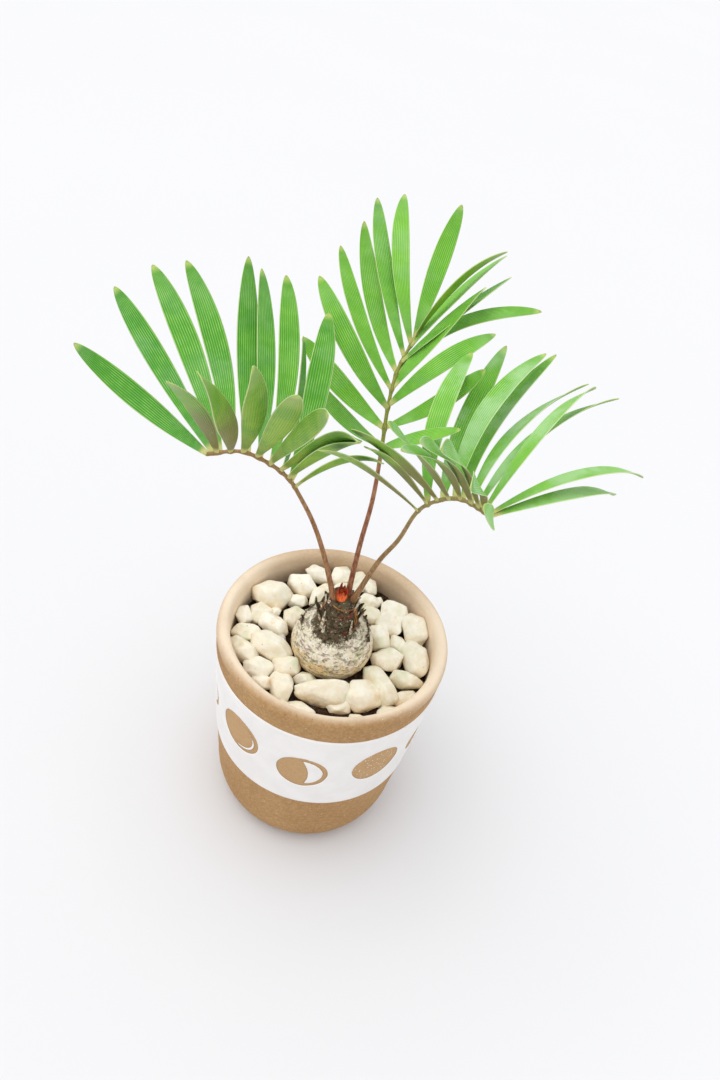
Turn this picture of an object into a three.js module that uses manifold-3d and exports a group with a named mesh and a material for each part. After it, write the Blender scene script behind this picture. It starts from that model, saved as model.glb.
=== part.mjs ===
// A young zamia with three feather-shaped fronds, grown from a bare bulb-like stem base in a small
// round clay pot that is topped with pale stones. Millimetres, +Z up, with the origin in the middle of
// the pot's flat base. The plant leans and opens the way such a seedling does: one frond bows to -X,
// one to +X, and one arches back to +Y.

import * as THREE from "three";
import { mergeVertices } from "three/addons/utils/BufferGeometryUtils.js";
import Module from "manifold-3d";

const wasm = await Module();
wasm.setup();

// ---------------------------------------------------------------- driving dimensions

const GAP = 0.3; // clearance between pieces that touch

// Pot: an 8 cm clay pot with a rounded foot, nearly straight walls and a soft lip.
const POT_HEIGHT = 86.5;
const RIM_RADIUS = 39.5;
const FOOT_RADIUS = 25;
const FOOT_ROUND_HEIGHT = 18;
const LOWEST_WALL_RADIUS = 34.7;
const WALL_THICKNESS = 4.4;
const FLOOR_THICKNESS = 6.5;
const LIP_HEIGHT = 3;
const LIP_POWER = 0.75; // below 1, so that the lip is squarer than an ellipse
const POT_SIDES = 48;
const DRAIN_COUNT = 3;
const DRAIN_RADIUS = 2.5;
const DRAIN_CIRCLE = 13;

// Glaze band, in a shallow recess round the pot, left bare in ten moon-like discs.
const BAND_BOTTOM = 35.9;
const BAND_TOP = 76.9;
const BAND_RECESS = 0.95;
const BAND_PROUD = 0.1;
const MOON_COUNT = 10;
const MOON_RADIUS = 8.7;
const MOON_HEIGHT = 57;
const MOON_FIRST_ANGLE = -89.4;
const MOON_PHASE_ANGLE = -25;
const MOON_DARK_WIDTHS = [5.9, 0, 5.9, 10, 14, 0, 14, 10, 5.9, 0]; // glazed part of each disc

// Soil and the gravel on it. The stones lie a little higher at the back (+Y).
const SOIL_TOP = 71.7;
const SOIL_SIDES = 24;
const GRAVEL_TOP = 73.4;
const STONE_LEVEL = 76.7;
const STONE_SLOPE = 0.13;
const STONE_FLATNESS = 0.42; // height over the sum of length and width
const STONE_SEAT = 2; // depth of the seat below the stones' middles
const STONE_PLANES = 13;
const STONE_SHARPNESS = 9;
const BED_SIDES = 32;

// Stem base: a globe with a neck, on a tap root that goes down into the soil.
const BULB_RADIUS = 14.2;
const BULB_HALF_HEIGHT = 12;
const BULB_CENTRE = 79.5;
const NECK_RADIUS = 6.2;
const NECK_FOOT = 88.5;
const CROWN_HEIGHT = 102.2;
const CROWN_RADIUS = 4.9;
const ROOT_TOP_RADIUS = 4;
const ROOT_END_RADIUS = 1.2;
const ROOT_END = 36;
const BULB_SIDES = 20;
const BARK_RELIEF = 0.9;
const BARK_FLAKES = 17;
const NECK_FLAKES = 9;

// Fronds: a stalk that carries the leaflets along its outer half.
const STALK_RADIUS = 0.95;
const TIP_RADIUS = 0.42;
const STALK_SIDES = 8;
const BLADE_THICKNESS = 0.62;

// Bud of the next frond, on the crown between the stalks.
const BUD_PLACE = [-0.4, -1.5];
const BUD_FOOT = CROWN_HEIGHT + GAP;
const BUD_SIDES = 8;

// ---------------------------------------------------------------- colours

const COLOURS = {
  clay: 0xc9a878, glaze: 0xe6e0db, soil: 0x3a2c22, stone: 0xebe5cf, bulb: 0xb7a98c,
  bud: 0xc8452a, stalk: 0x7c5a3a, leaf: 0x5da83c,
};

const material = (colour, roughness) =>
  new THREE.MeshStandardMaterial({ color: colour, roughness, metalness: 0 });

// ---------------------------------------------------------------- small tools

const radians = THREE.MathUtils.degToRad;
const vector = (point) => new THREE.Vector3(...point);

// A fixed draw between 0 and 1 for each whole number, the same every time.
const draw = (number) => {
  const wave = Math.sin(number * 12.9898) * 43758.5453;
  return wave - Math.floor(wave);
};

// A closed surface from rows of points that run once round, with a fan at each end. Each quad is
// split along the same diagonal on every side.
function closedRows(rows) {
  const around = rows[0].length;
  const positions = rows.flat().flatMap((p) => [p.x, p.y, p.z]);
  const faces = [];
  for (let row = 0; row + 1 < rows.length; row += 1) {
    for (let side = 0; side < around; side += 1) {
      const a = row * around + side;
      const b = row * around + ((side + 1) % around);
      faces.push(a, b, b + around, a, b + around, a + around);
    }
  }
  const last = (rows.length - 1) * around;
  for (let side = 1; side + 1 < around; side += 1) {
    faces.push(0, side + 1, side);
    faces.push(last, last + side, last + side + 1);
  }
  const geometry = new THREE.BufferGeometry();
  geometry.setAttribute("position", new THREE.Float32BufferAttribute(positions, 3));
  geometry.setIndex(faces);
  return geometry;
}

function toSolid(geometry) {
  const bare = geometry.clone();
  bare.deleteAttribute("normal");
  bare.deleteAttribute("uv");
  const merged = mergeVertices(bare, 1e-4);
  return new wasm.Manifold(new wasm.Mesh({
    numProp: 3,
    vertProperties: new Float32Array(merged.attributes.position.array),
    triVerts: new Uint32Array(merged.index.array),
  }));
}

function toGeometry(solid) {
  const mesh = solid.getMesh();
  const geometry = new THREE.BufferGeometry();
  geometry.setAttribute("position", new THREE.Float32BufferAttribute(mesh.vertProperties, 3));
  geometry.setIndex(Array.from(mesh.triVerts));
  geometry.computeVertexNormals();
  return geometry;
}

const join = (geometries) =>
  geometries.map(toSolid).reduce((whole, next) => whole.add(next));

// The biggest piece of a cut solid, without the scraps that a cut leaves.
const largest = (solid) =>
  solid.decompose().reduce((best, next) => (next.volume() > best.volume() ? next : best));

function node(name, geometry, look) {
  const mesh = new THREE.Mesh(geometry, look);
  mesh.name = name;
  return mesh;
}

// A solid of revolution about Z from [radius, height] pairs.
function turned(profile, sides = POT_SIDES) {
  const points = profile.map(([radius, height]) => new THREE.Vector2(radius, height));
  return new THREE.LatheGeometry(points, sides).rotateX(Math.PI / 2);
}

// ---------------------------------------------------------------- pot

// Outer radius of the straight wall, which swells by a hair towards the rim.
const wallRadius = (height) => {
  const below = height - POT_HEIGHT;
  return 39.55 + 0.0426 * below - 0.00042 * below * below;
};

const footProfile = () => {
  const points = [[FOOT_RADIUS, 0]];
  for (const share of [0.12, 0.27, 0.45, 0.7, 1]) {
    const angle = share * Math.PI / 2;
    points.push([
      FOOT_RADIUS + (LOWEST_WALL_RADIUS - FOOT_RADIUS) * Math.sin(angle),
      FOOT_ROUND_HEIGHT * (1 - Math.cos(angle)),
    ]);
  }
  return points;
};

// The lip runs over from the outer wall to the inner one in half a squarish ellipse.
const lipProfile = () => {
  const middle = RIM_RADIUS - WALL_THICKNESS / 2;
  return [0, 20, 45, 70, 90, 110, 135, 160, 180].map((degrees) => {
    const across = Math.cos(radians(degrees));
    const up = Math.abs(Math.sin(radians(degrees)));
    return [
      middle + (WALL_THICKNESS / 2) * Math.sign(across) * Math.abs(across) ** LIP_POWER,
      POT_HEIGHT - LIP_HEIGHT + LIP_HEIGHT * up ** LIP_POWER,
    ];
  });
};

function pot() {
  const inner = (height) => wallRadius(height) - WALL_THICKNESS;
  const recessed = (height) => wallRadius(height) - BAND_RECESS;
  const body = turned([
    [0, 0],
    ...footProfile(),
    [wallRadius(BAND_BOTTOM), BAND_BOTTOM],
    [recessed(BAND_BOTTOM), BAND_BOTTOM],
    [recessed(BAND_TOP), BAND_TOP],
    [wallRadius(BAND_TOP), BAND_TOP],
    ...lipProfile(),
    [inner(55), 55],
    [inner(24), 24],
    [26.5, 12],
    [20, FLOOR_THICKNESS],
    [0, FLOOR_THICKNESS],
  ]);
  let solid = toSolid(body);
  for (let hole = 0; hole < DRAIN_COUNT; hole += 1) {
    const angle = (hole / DRAIN_COUNT) * 2 * Math.PI;
    const drill = new THREE.CylinderGeometry(DRAIN_RADIUS, DRAIN_RADIUS, 3 * FLOOR_THICKNESS, 12)
      .rotateX(Math.PI / 2)
      .translate(DRAIN_CIRCLE * Math.cos(angle), DRAIN_CIRCLE * Math.sin(angle), 0);
    solid = solid.subtract(toSolid(drill));
  }
  return node("pot", toGeometry(solid), material(COLOURS.clay, 0.85));
}

// The bare part of one moon disc, as an outline about its own centre: the part of the disc that also
// lies in an equal disc shifted sideways by the width of the glazed part.
function moonOutline(glazedWidth) {
  const shape = new THREE.Shape();
  const halfChord = Math.acos(glazedWidth / 2 / MOON_RADIUS);
  if (glazedWidth === 0) {
    shape.absarc(0, 0, MOON_RADIUS, 0, 2 * Math.PI, false);
    return shape;
  }
  shape.absarc(0, 0, MOON_RADIUS, Math.PI - halfChord, Math.PI + halfChord, false);
  shape.absarc(-glazedWidth, 0, MOON_RADIUS, -halfChord, halfChord, false);
  return shape;
}

function glazeBand() {
  const bottom = BAND_BOTTOM + GAP;
  const top = BAND_TOP - GAP;
  const inside = (height) => wallRadius(height) - BAND_RECESS + GAP;
  const outside = (height) => wallRadius(height) + BAND_PROUD;
  const sleeve = turned([
    [inside(bottom), bottom],
    [outside(bottom), bottom],
    [outside(top), top],
    [inside(top), top],
    [inside(bottom), bottom],
  ]);
  let solid = toSolid(sleeve);
  MOON_DARK_WIDTHS.forEach((glazedWidth, index) => {
    const turn = radians(MOON_FIRST_ANGLE + (index * 360) / MOON_COUNT);
    // The outline is turned in its own plane, stood up, and pushed out through the band.
    const cutter = new THREE.ExtrudeGeometry(moonOutline(glazedWidth), {
      depth: 2 * WALL_THICKNESS, bevelEnabled: false, curveSegments: 7,
    })
      .rotateZ(radians(MOON_PHASE_ANGLE))
      .rotateY(Math.PI / 2)
      .rotateX(Math.PI / 2)
      .translate(RIM_RADIUS - WALL_THICKNESS, 0, MOON_HEIGHT)
      .rotateZ(turn);
    solid = solid.subtract(toSolid(cutter));
  });
  return node("glaze_band", toGeometry(solid), material(COLOURS.glaze, 0.35));
}

// ---------------------------------------------------------------- stem base, soil and stones

const bulbRadius = (height) => {
  const up = (height - BULB_CENTRE) / BULB_HALF_HEIGHT;
  return BULB_RADIUS * Math.sqrt(Math.max(0, 1 - up * up));
};

// Tap root, bulb and neck as one turned form. Its skin is smooth at the soil and uneven, by up to
// BARK_RELIEF, on the shoulders and the neck.
function stemBase() {
  const profile = [[ROOT_END_RADIUS, ROOT_END], [3, 55], [ROOT_TOP_RADIUS, 68.2]];
  for (const height of [69.4, 71.5, 74.5, 78, 81.5, 84.5, 86.8]) {
    profile.push([bulbRadius(height), height]);
  }
  profile.push([8.3, NECK_FOOT], [NECK_RADIUS, 90.2], [6.1, 93], [5.9, 96], [5.4, 99]);
  profile.push([CROWN_RADIUS, 101], [4, CROWN_HEIGHT]);
  const rows = profile.map(([radius, height], row) => {
    const points = [];
    for (let side = 0; side < BULB_SIDES; side += 1) {
      const angle = (side / BULB_SIDES) * 2 * Math.PI;
      const rough = Math.min(1, Math.max(0, (height - 75) / 10)) * (draw(row * 31 + side) - 0.5);
      const r = radius + BARK_RELIEF * rough;
      points.push(new THREE.Vector3(r * Math.cos(angle), r * Math.sin(angle), height));
    }
    return points;
  });
  return closedRows(rows);
}

// One curled scrap of bark or pointed scale: a slim four-faced flake whose foot is sunk in the stem.
function flake(angle, foot, tip, width) {
  const along = (radius, height, sideways) => new THREE.Vector3(
    radius * Math.cos(angle) - sideways * Math.sin(angle),
    radius * Math.sin(angle) + sideways * Math.cos(angle),
    height,
  );
  const [footRadius, footHeight] = foot;
  const corners = [
    along(footRadius, footHeight, -width / 2),
    along(footRadius, footHeight, width / 2),
    along(footRadius - 2.4, footHeight + 0.4, 0),
    along(tip[0], tip[1], 0.25 * width),
  ];
  const geometry = new THREE.BufferGeometry();
  geometry.setAttribute("position", new THREE.Float32BufferAttribute(
    corners.flatMap((p) => [p.x, p.y, p.z]), 3));
  geometry.setIndex([0, 1, 3, 1, 2, 3, 2, 0, 3, 0, 2, 1]);
  return geometry;
}

function caudex() {
  const pieces = [stemBase()];
  for (let index = 0; index < BARK_FLAKES; index += 1) {
    const angle = ((index + 0.6 * draw(index)) / BARK_FLAKES) * 2 * Math.PI;
    const lift = 2 + 1.6 * draw(index + 40);
    pieces.push(flake(angle, [11, 86.2], [12.2 + draw(index + 60), 86.4 + lift], 3.4));
  }
  for (let index = 0; index < NECK_FLAKES; index += 1) {
    const angle = ((index + 0.5) / NECK_FLAKES) * 2 * Math.PI;
    pieces.push(flake(angle, [5.4, 97.5], [6.6 + draw(index + 80), 101 + draw(index + 90)], 2.6));
  }
  return node("caudex", toGeometry(join(pieces)), material(COLOURS.bulb, 0.9));
}

// The bud of the next frond: a pointed, slightly leaning cone of overlapping scales.
function bud() {
  const rows = [[1.1, 0], [1.3, 1.4], [1.2, 3.2], [0.95, 3.5], [0.8, 5], [0.3, 6.8]].map(
    ([radius, up]) => Array.from({ length: BUD_SIDES }, (_, side) => {
      const angle = (side / BUD_SIDES) * 2 * Math.PI + 0.25 * up;
      const ribbed = radius * (side % 2 === 0 ? 1 : 0.86);
      return new THREE.Vector3(
        BUD_PLACE[0] - 0.12 * up + ribbed * Math.cos(angle),
        BUD_PLACE[1] + ribbed * Math.sin(angle),
        BUD_FOOT + up,
      );
    }),
  );
  return node("new_bud", closedRows(rows), material(COLOURS.bud, 0.7));
}

// Soil fills the pot below the gravel, with a plain hole for the buried part of the stem base.
function soil() {
  const outer = (height) => wallRadius(height) - WALL_THICKNESS - GAP;
  const hole = [71, 69.6].map((height) => [bulbRadius(height) + 2 * GAP, height]);
  const plug = turned([
    [0, FLOOR_THICKNESS + GAP],
    [19.8, FLOOR_THICKNESS + GAP],
    [26.1, 12.2],
    [outer(24), 24],
    [outer(55), 55],
    [outer(SOIL_TOP), SOIL_TOP],
    [bulbRadius(SOIL_TOP) + 2 * GAP, SOIL_TOP],
    ...hole,
    [ROOT_TOP_RADIUS + 2 * GAP, 67.8],
    [3 + 2 * GAP, 55],
    [ROOT_END_RADIUS + 2 * GAP, ROOT_END - GAP],
    [0, ROOT_END - GAP],
  ], SOIL_SIDES);
  return node("soil", toGeometry(toSolid(plug)), material(COLOURS.soil, 0.95));
}

// Stones as they lie: middle (x, y), length, width, turn of the long side in degrees, lift over the bed,
// and taper, the share by which the stone is thicker at one end of its long side.
const STONES = [
  [-24.7, 14.5, 14.7, 10.2, -3, 0.6, 0.3], [-15.3, 21.7, 11.4, 7.4, -30, 0.5, 0],
  [-15.3, 15.3, 6.9, 4.5, 4, -0.6, 0], [-10.4, 28.4, 9.4, 6.1, -15, 0.2, 0],
  [-7.7, 19.2, 12.7, 6.7, 70, 0.4, 0.1], [-2.5, 30.6, 7.8, 7.5, 56, 0, 0],
  [4.3, 29.2, 9, 6.9, -82, 0.2, 0], [8.2, 29, 8.2, 5.9, -66, -0.3, 0], [9.2, 21.4, 8, 5.6, -2, 0.2, 0],
  [11.2, 16, 7.5, 6.6, -90, 0.3, 0], [19.4, 19.4, 9.8, 9.1, 3, 0, 0], [19, 13.7, 9, 8.7, -49, 1, -0.35],
  [27.7, 14.2, 11.6, 9, -77, 0.4, 0], [15.7, 7.6, 9, 8.5, -34, 0.6, 0],
  [23.1, 6.6, 8.2, 5.8, -58, -0.5, 0], [20, -1.2, 11, 7.3, -2, 0.9, 0.2],
  [29.8, 1.7, 13.9, 8.7, -67, 0.8, 0], [27.5, -7, 10.2, 5.4, 1, 0.2, -0.25],
  [19, -11.8, 15.6, 8.4, -47, -0.3, 0], [28.4, -13, 8, 4.7, 26, -0.8, 0],
  [14.1, -17.3, 11.4, 10.2, -6, 1.2, 0], [-0.2, -19.6, 17.1, 7.6, 9, 1.2, 0.42],
  [6.9, -21.6, 7.6, 6.1, 17, -0.6, 0], [-6, -14.4, 7.4, 4.2, 6, -0.8, 0],
  [-12.9, -12.3, 8.2, 7.8, 21, 0.8, 0], [-13, -19.8, 10.4, 8, -67, 0, 0.15],
  [-19.4, -19.4, 6.4, 4.9, -4, -0.8, 0], [-22, -14.7, 9.3, 6.7, 9, 0, 0],
  [-28.2, -9.8, 11.7, 7.1, -39, -0.2, 0], [-19.4, -6.8, 13.6, 8.8, -18, 1.2, 0],
  [-29.3, -3.2, 10.4, 5.6, 7, 0.3, 0.2], [-20.7, 2.3, 9.8, 6.8, -11, 0.8, 0],
  [-26.1, 6.2, 8, 7.5, -79, 0.2, 0], [-32.2, 4.2, 8.5, 6, -59, 0, 0], [-14, 7.5, 9.3, 8.5, 22, 0, 0],
  [-21.9, 8.2, 3.9, 3.5, 20, 0.2, 0], [13, 23.3, 4, 3.7, 85, -0.3, 0], [0, 17, 9, 8, 0, 0, 0],
  [0, 23, 9, 7, 30, 0, 0], [-4.5, -26.2, 9, 6, -10, -1.5, 0], [-12, -27.4, 8, 6, 20, -1, 0],
  [15.5, -26.5, 8, 6, -30, -1, 0], [23.5, -20.5, 8, 6, 45, -1.2, 0],
  [-8, -32, 6, 5, 10, -1.2, 0], [1, -31.6, 7, 5, -5, -1.2, 0], [9, -31, 7, 5, -15, -1.2, 0],
  [-19, -26.6, 7, 5, 35, -1.2, 0], [20, -26.8, 6, 5, -40, -1.2, 0],
];

// A tumbled stone: the soft intersection of a spiral of planes at seeded distances, which rounds the
// edges between its flat sides.
function stone([x, y, length, width, turn, lift, taper], index) {
  const golden = Math.PI * (3 - Math.sqrt(5));
  const planes = [];
  for (let plane = 0; plane < STONE_PLANES; plane += 1) {
    const up = 1 - (2 * (plane + 0.5)) / STONE_PLANES;
    const angle = plane * golden + 6.28 * draw(index + 0.5);
    const out = Math.sqrt(1 - up * up);
    const normal = new THREE.Vector3(out * Math.cos(angle), out * Math.sin(angle), up);
    planes.push({ normal, distance: 0.78 + 0.24 * draw(index * 17 + plane) });
  }
  const geometry = new THREE.IcosahedronGeometry(1, 0);
  const position = geometry.attributes.position;
  const point = new THREE.Vector3();
  for (let corner = 0; corner < position.count; corner += 1) {
    point.fromBufferAttribute(position, corner).normalize();
    let sum = 0;
    for (const { normal, distance } of planes) {
      sum += Math.max(0, point.dot(normal) / distance) ** STONE_SHARPNESS;
    }
    point.multiplyScalar(sum ** (-1 / STONE_SHARPNESS));
    const thicker = 1 + taper * point.x;
    position.setXYZ(corner, point.x, point.y * thicker, point.z * thicker);
  }
  const height = STONE_FLATNESS * (length + width);
  return geometry
    .scale(length / 2, width / 2, height / 2)
    .rotateX(0.5 * (draw(index + 200) - 0.5))
    .rotateZ(radians(turn))
    .translate(x, y, STONE_LEVEL + STONE_SLOPE * y + lift);
}

// The lowest layer of gravel is one uneven ring that the stones are set in, higher at the back.
function pebbles() {
  const wall = wallRadius(SOIL_TOP) - WALL_THICKNESS - GAP;
  const clearOfBulb = (height) => [bulbRadius(height) + GAP, height];
  const bed = turned([
    [12.2, SOIL_TOP + GAP],
    [wall, SOIL_TOP + GAP],
    [wall, GRAVEL_TOP],
    [13.5, GRAVEL_TOP],
    [12.2, SOIL_TOP + GAP],
  ], BED_SIDES);
  const corners = bed.attributes.position;
  for (let corner = 0; corner < corners.count; corner += 1) {
    const seat = STONE_LEVEL - STONE_SEAT + STONE_SLOPE * corners.getY(corner);
    if (corners.getZ(corner) > SOIL_TOP + 1) {
      corners.setZ(corner, Math.max(GRAVEL_TOP, seat));
    }
  }
  // Room that the stones may fill, between the bulb and the pot's wall.
  const room = turned([
    [wall, SOIL_TOP + GAP],
    [wall, POT_HEIGHT],
    clearOfBulb(POT_HEIGHT),
    clearOfBulb(84),
    [BULB_RADIUS + GAP, 81.5],
    [BULB_RADIUS + GAP, 77.5],
    clearOfBulb(75),
    clearOfBulb(SOIL_TOP + GAP),
    [wall, SOIL_TOP + GAP],
  ], BED_SIDES);
  const solid = largest(join([bed, ...STONES.map(stone)]).intersect(toSolid(room)));
  return node("pebbles", toGeometry(solid), material(COLOURS.stone, 0.8));
}

// ---------------------------------------------------------------- fronds

// Each frond has its stalk's points from the crown outwards, the distance along it where the green
// leaf begins, the width of its leaflets, and the leaflets themselves, from the crown outwards on each
// side: [root along the stalk, length, heading, rise, bow, sweep, twist, roll, share of the width].
// Heading is the direction seen from above and rise the angle over the level, both in degrees and of
// the straight line from root to tip. Bow lifts the middle off that line towards the upper face and
// sweep moves it towards the stalk's tip, in mm. Roll turns the whole blade about its own length and
// twist turns its tip further, in degrees.
const FRONDS = [
  {
    side: "left",
    leafStart: 47,
    leafletWidth: 5.7,
    stalk: [
      [-3, -2, 103], [-8.5, -4.5, 122], [-13.2, -8, 136.5], [-18, -11, 147.5], [-21.5, -14, 155],
      [-27, -17.2, 161], [-34, -19.2, 164], [-42, -21.5, 162.5],
    ],
    leaflets: [
      [55.5, 46, 90.6, 50.8, 2.1, 0.4, -5.6, -48.9, 1.16], [60, 41, 97.3, 32, 0.4, -2.3, 1, 21, 1],
      [64.5, 51, 102.9, 43.3, 0.4, -2.8, -22, -11, 1.05],
      [68, 50, 108.7, 44.3, -0.4, -1.6, 18, -1, 1.01], [71.5, 52, 109, 42.8, -1.7, -0.1, 23, -2, 1.05],
      [76, 52, 124.8, 37.1, -1.6, -2.6, 12, 3, 1.09], [78.7, 53, 132.1, 34.1, -0.7, -1.7, 3, 3, 1.12],
      [80.5, 52, 141.9, 27.4, 0.4, -0.1, -2, -6, 1.02],
      [81.9, 47, 157, 14.3, -5.1, -0.6, -8, -17, 1.08],
      [52.5, 34, -29.5, 42.8, 4.7, -0.4, -27.2, 35.3, 0.99],
      [57, 40, -49.1, 48.8, 2.9, -0.3, 5.4, 26.9, 1], [61, 46, -53.2, 45.3, 5.6, -2.3, -2.8, 2.2, 0.99],
      [65, 51, -62.8, 48.9, 2.7, -0.6, -9, -54, 0.99], [69, 51, -68.1, 51.3, 0.8, -0.9, -3, 12, 1.07],
      [72.8, 50, -78.3, 56, 0.9, -1.7, 77, 9, 1.15], [76, 47, -94.1, 54.4, -1.4, -2.3, 102, 20, 1.06],
      [79.5, 44, -100.1, 52.6, 1.5, -1, -8, -19, 0.99],
    ],
  },
  {
    side: "middle",
    leafStart: 48,
    leafletWidth: 5.3,
    stalk: [
      [1.5, 0.8, 103], [1.5, 3, 122], [2, 6, 139], [1, 10, 155.5], [0, 16, 166], [0.3, 23.7, 173.3],
      [3, 34, 179],
    ],
    leaflets: [
      [53.5, 32, 147.3, 13.9, -1.6, -2.6, -19, 4, 1.02],
      [58.7, 35.5, 155.1, 25.1, -0.6, -1.2, 17, 11, 1.15],
      [64.5, 41, 164.1, 48.5, 3.8, -3.1, 12, -20, 1.1], [70, 42, 143.5, 46.8, 0.1, -2.2, 3, 8, 1],
      [75.3, 45, 125.1, 42, -6, 0.6, -17, -31, 1.03], [81, 48, 120.5, 40.8, -0.4, -1.4, -8, -3, 1.01],
      [86, 45, 111.7, 43.3, 0.9, -3.4, -10, -18, 1.03],
      [53.3, 33, -41.5, 41.8, 1.7, -0.1, -11, -35, 0.99],
      [59, 33.1, 6.8, 45.9, -4.8, -0.8, -2.2, -11.9, 0.99],
      [65.3, 37.3, 36.2, 32.7, 3.6, 1.6, -28.8, -9.2, 1.04],
      [70.5, 38, 40.3, 48.8, -1.7, 2, -57, 0, 1.09], [74.5, 45, 22.8, 29.2, -3.9, 9, 3, -17, 1],
      [79, 41, 41.7, 33.6, 3.3, -1.8, -23, -19, 1], [85, 40, 48.2, 35.5, 3.9, -3.2, -20, -4, 1],
      [87.3, 37, 41.6, 42.1, 6.2, -5.1, 26, -55, 1.01], [88.1, 40, 79.1, 55, -0.9, 1.1, 12, -63, 1.09],
    ],
  },
  {
    side: "right",
    leafStart: 43,
    leafletWidth: 5.8,
    stalk: [
      [3.8, -0.6, 103], [8.2, 0, 120], [12.2, -2.5, 133], [14.8, -6.5, 148], [19, -9.7, 156],
      [25, -11.3, 159.5], [33.2, -15.4, 159.5],
    ],
    leaflets: [
      [53, 45.2, 85.4, 41.9, 5.9, 2.3, -10.9, 47.8, 1.04],
      [58.5, 47, 76.9, 41.1, -6, -7.2, -17, 27, 1.11], [62, 50, 66.2, 34.6, 3.2, -4.3, -8, 1, 1.01],
      [64.5, 51, 66.1, 33.1, -4.7, -6.4, -10, -19, 1.01],
      [66.8, 52, 55.6, 24.8, 0.5, -5.4, -35, -33, 1.02], [71, 51, 57.5, 25.7, 12, 0.2, -34, -36, 0.99],
      [69, 52, 45.8, 26.1, 3, -4.7, -35, -34, 1.01], [72.4, 50, 31.3, 6.6, 10.2, 1.8, -6, -22, 0.99],
      [73.1, 44, 35, -2.4, 8.3, 5.3, -25, -7, 1.01], [48, 56, -129.9, 40.1, 4.8, -1.4, 22.3, -47.6, 1],
      [53, 42, -130.7, 44.4, 3.8, -1.6, 7.4, -34.6, 1], [57, 49, -135.3, 42.4, 2, -0.2, 4.9, -22.3, 1],
      [60.5, 50, -127.6, 46.5, 1.8, -0.4, -47, -30, 1.01],
      [63.7, 48, -123.1, 41.2, 3.9, 0, -18, -15, 0.97], [67, 48, -124.6, 44.8, 3.1, -1.8, -48, 0, 1],
      [69.2, 47, -120.9, 46.4, 3.9, -3.1, -50, -11, 1.02],
      [71, 30, -113.4, 43.6, 3.4, -1.9, -51, -17, 1.1],
      [72.5, 22, -107.7, 41.5, -1.3, 2.5, -26, -51, 0.99],
    ],
  },
];

const stalkCurve = (frond) =>
  new THREE.CatmullRomCurve3(frond.stalk.map(vector), false, "catmullrom", 0.5);

// A round tapering rod along part of a curve, between two distances from its start.
function rod(curve, from, to, radiusAt, steps) {
  const length = curve.getLength();
  const rows = [];
  const across = new THREE.Vector3(0, 1, 0);
  for (let step = 0; step <= steps; step += 1) {
    const distance = from + ((to - from) * step) / steps;
    const centre = curve.getPointAt(distance / length);
    const along = curve.getTangentAt(distance / length);
    const side = across.clone().addScaledVector(along, -across.dot(along)).normalize();
    const up = along.clone().cross(side);
    const radius = radiusAt(distance);
    rows.push(Array.from({ length: STALK_SIDES }, (_, corner) => {
      const angle = (corner / STALK_SIDES) * 2 * Math.PI;
      return centre.clone()
        .addScaledVector(side, radius * Math.cos(angle))
        .addScaledVector(up, radius * Math.sin(angle));
    }));
  }
  return closedRows(rows);
}

// Share of a leaflet's full width: narrow at the root, widest past the middle, with a tip like a
// pointed arch.
const WIDEST = 0.6;
const ARCH_POWER = 0.57;
const leafletShare = (along) => {
  const swell = 0.2 + 0.8 * Math.sin((Math.PI / 2) * Math.min(1, along / WIDEST));
  const beyond = Math.max(0, along - WIDEST) / (1.02 - WIDEST);
  return swell * (1 - beyond * beyond) ** ARCH_POWER;
};
const LEAFLET_STATIONS = [0, 0.12, 0.3, 0.5, 0.7, 0.87, 1];

// One leaflet as a thin closed blade of even thickness. Its width lies along the stalk, so that the
// leaflets of one side make one open sheet, with the upper face to the inside of the frond's V.
function leaflet(curve, fullWidth, row) {
  const [root, length, heading, rise, bow, sweep, twist, roll, breadth] = row;
  const share = Math.min(1, root / curve.getLength());
  const start = curve.getPointAt(share);
  const stalkward = curve.getTangentAt(share);
  const turn = radians(heading);
  const lift = radians(rise);
  const chord = new THREE.Vector3(
    Math.cos(lift) * Math.cos(turn), Math.cos(lift) * Math.sin(turn), Math.sin(lift));
  const wide = stalkward.clone().addScaledVector(chord, -stalkward.dot(chord)).normalize();
  const face = chord.clone().cross(wide);
  const outward = face.z < 0 ? -1 : 1;
  face.multiplyScalar(outward);
  const middle = (along) => start.clone()
    .addScaledVector(chord, length * along)
    .addScaledVector(face, bow * 4 * along * (1 - along))
    .addScaledVector(wide, sweep * 4 * along * (1 - along));
  const rows = LEAFLET_STATIONS.map((along) => {
    const ahead = middle(along + 0.01).sub(middle(along - 0.01)).normalize();
    const edge = wide.clone().multiplyScalar(outward)
      .addScaledVector(ahead, -outward * wide.dot(ahead)).normalize()
      .applyAxisAngle(ahead, radians(roll + twist * along * along));
    const upper = ahead.clone().cross(edge);
    const halfWidth = (fullWidth / 2) * leafletShare(along) * breadth;
    return [[1, 1], [-1, 1], [-1, -1], [1, -1]].map(([sideways, over]) => middle(along)
      .addScaledVector(edge, sideways * halfWidth)
      .addScaledVector(upper, (over * BLADE_THICKNESS) / 2));
  });
  return closedRows(rows);
}

const stalkRadius = (length) => (distance) =>
  STALK_RADIUS + (TIP_RADIUS - STALK_RADIUS) * (distance / length) ** 0.8;

function petiole(frond) {
  const curve = stalkCurve(frond);
  const radiusAt = stalkRadius(curve.getLength());
  const stick = rod(curve, 0, frond.leafStart - GAP, radiusAt, 9);
  return node(`petiole_${frond.side}`, toGeometry(toSolid(stick)), material(COLOURS.stalk, 0.7));
}

function blade(frond) {
  const curve = stalkCurve(frond);
  const length = curve.getLength();
  const rachis = rod(curve, frond.leafStart, length, stalkRadius(length), 10);
  const leaflets = frond.leaflets.map((row) => leaflet(curve, frond.leafletWidth, row));
  const solid = join([rachis, ...leaflets]);
  return node(`frond_${frond.side}`, toGeometry(solid), material(COLOURS.leaf, 0.45));
}

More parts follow.
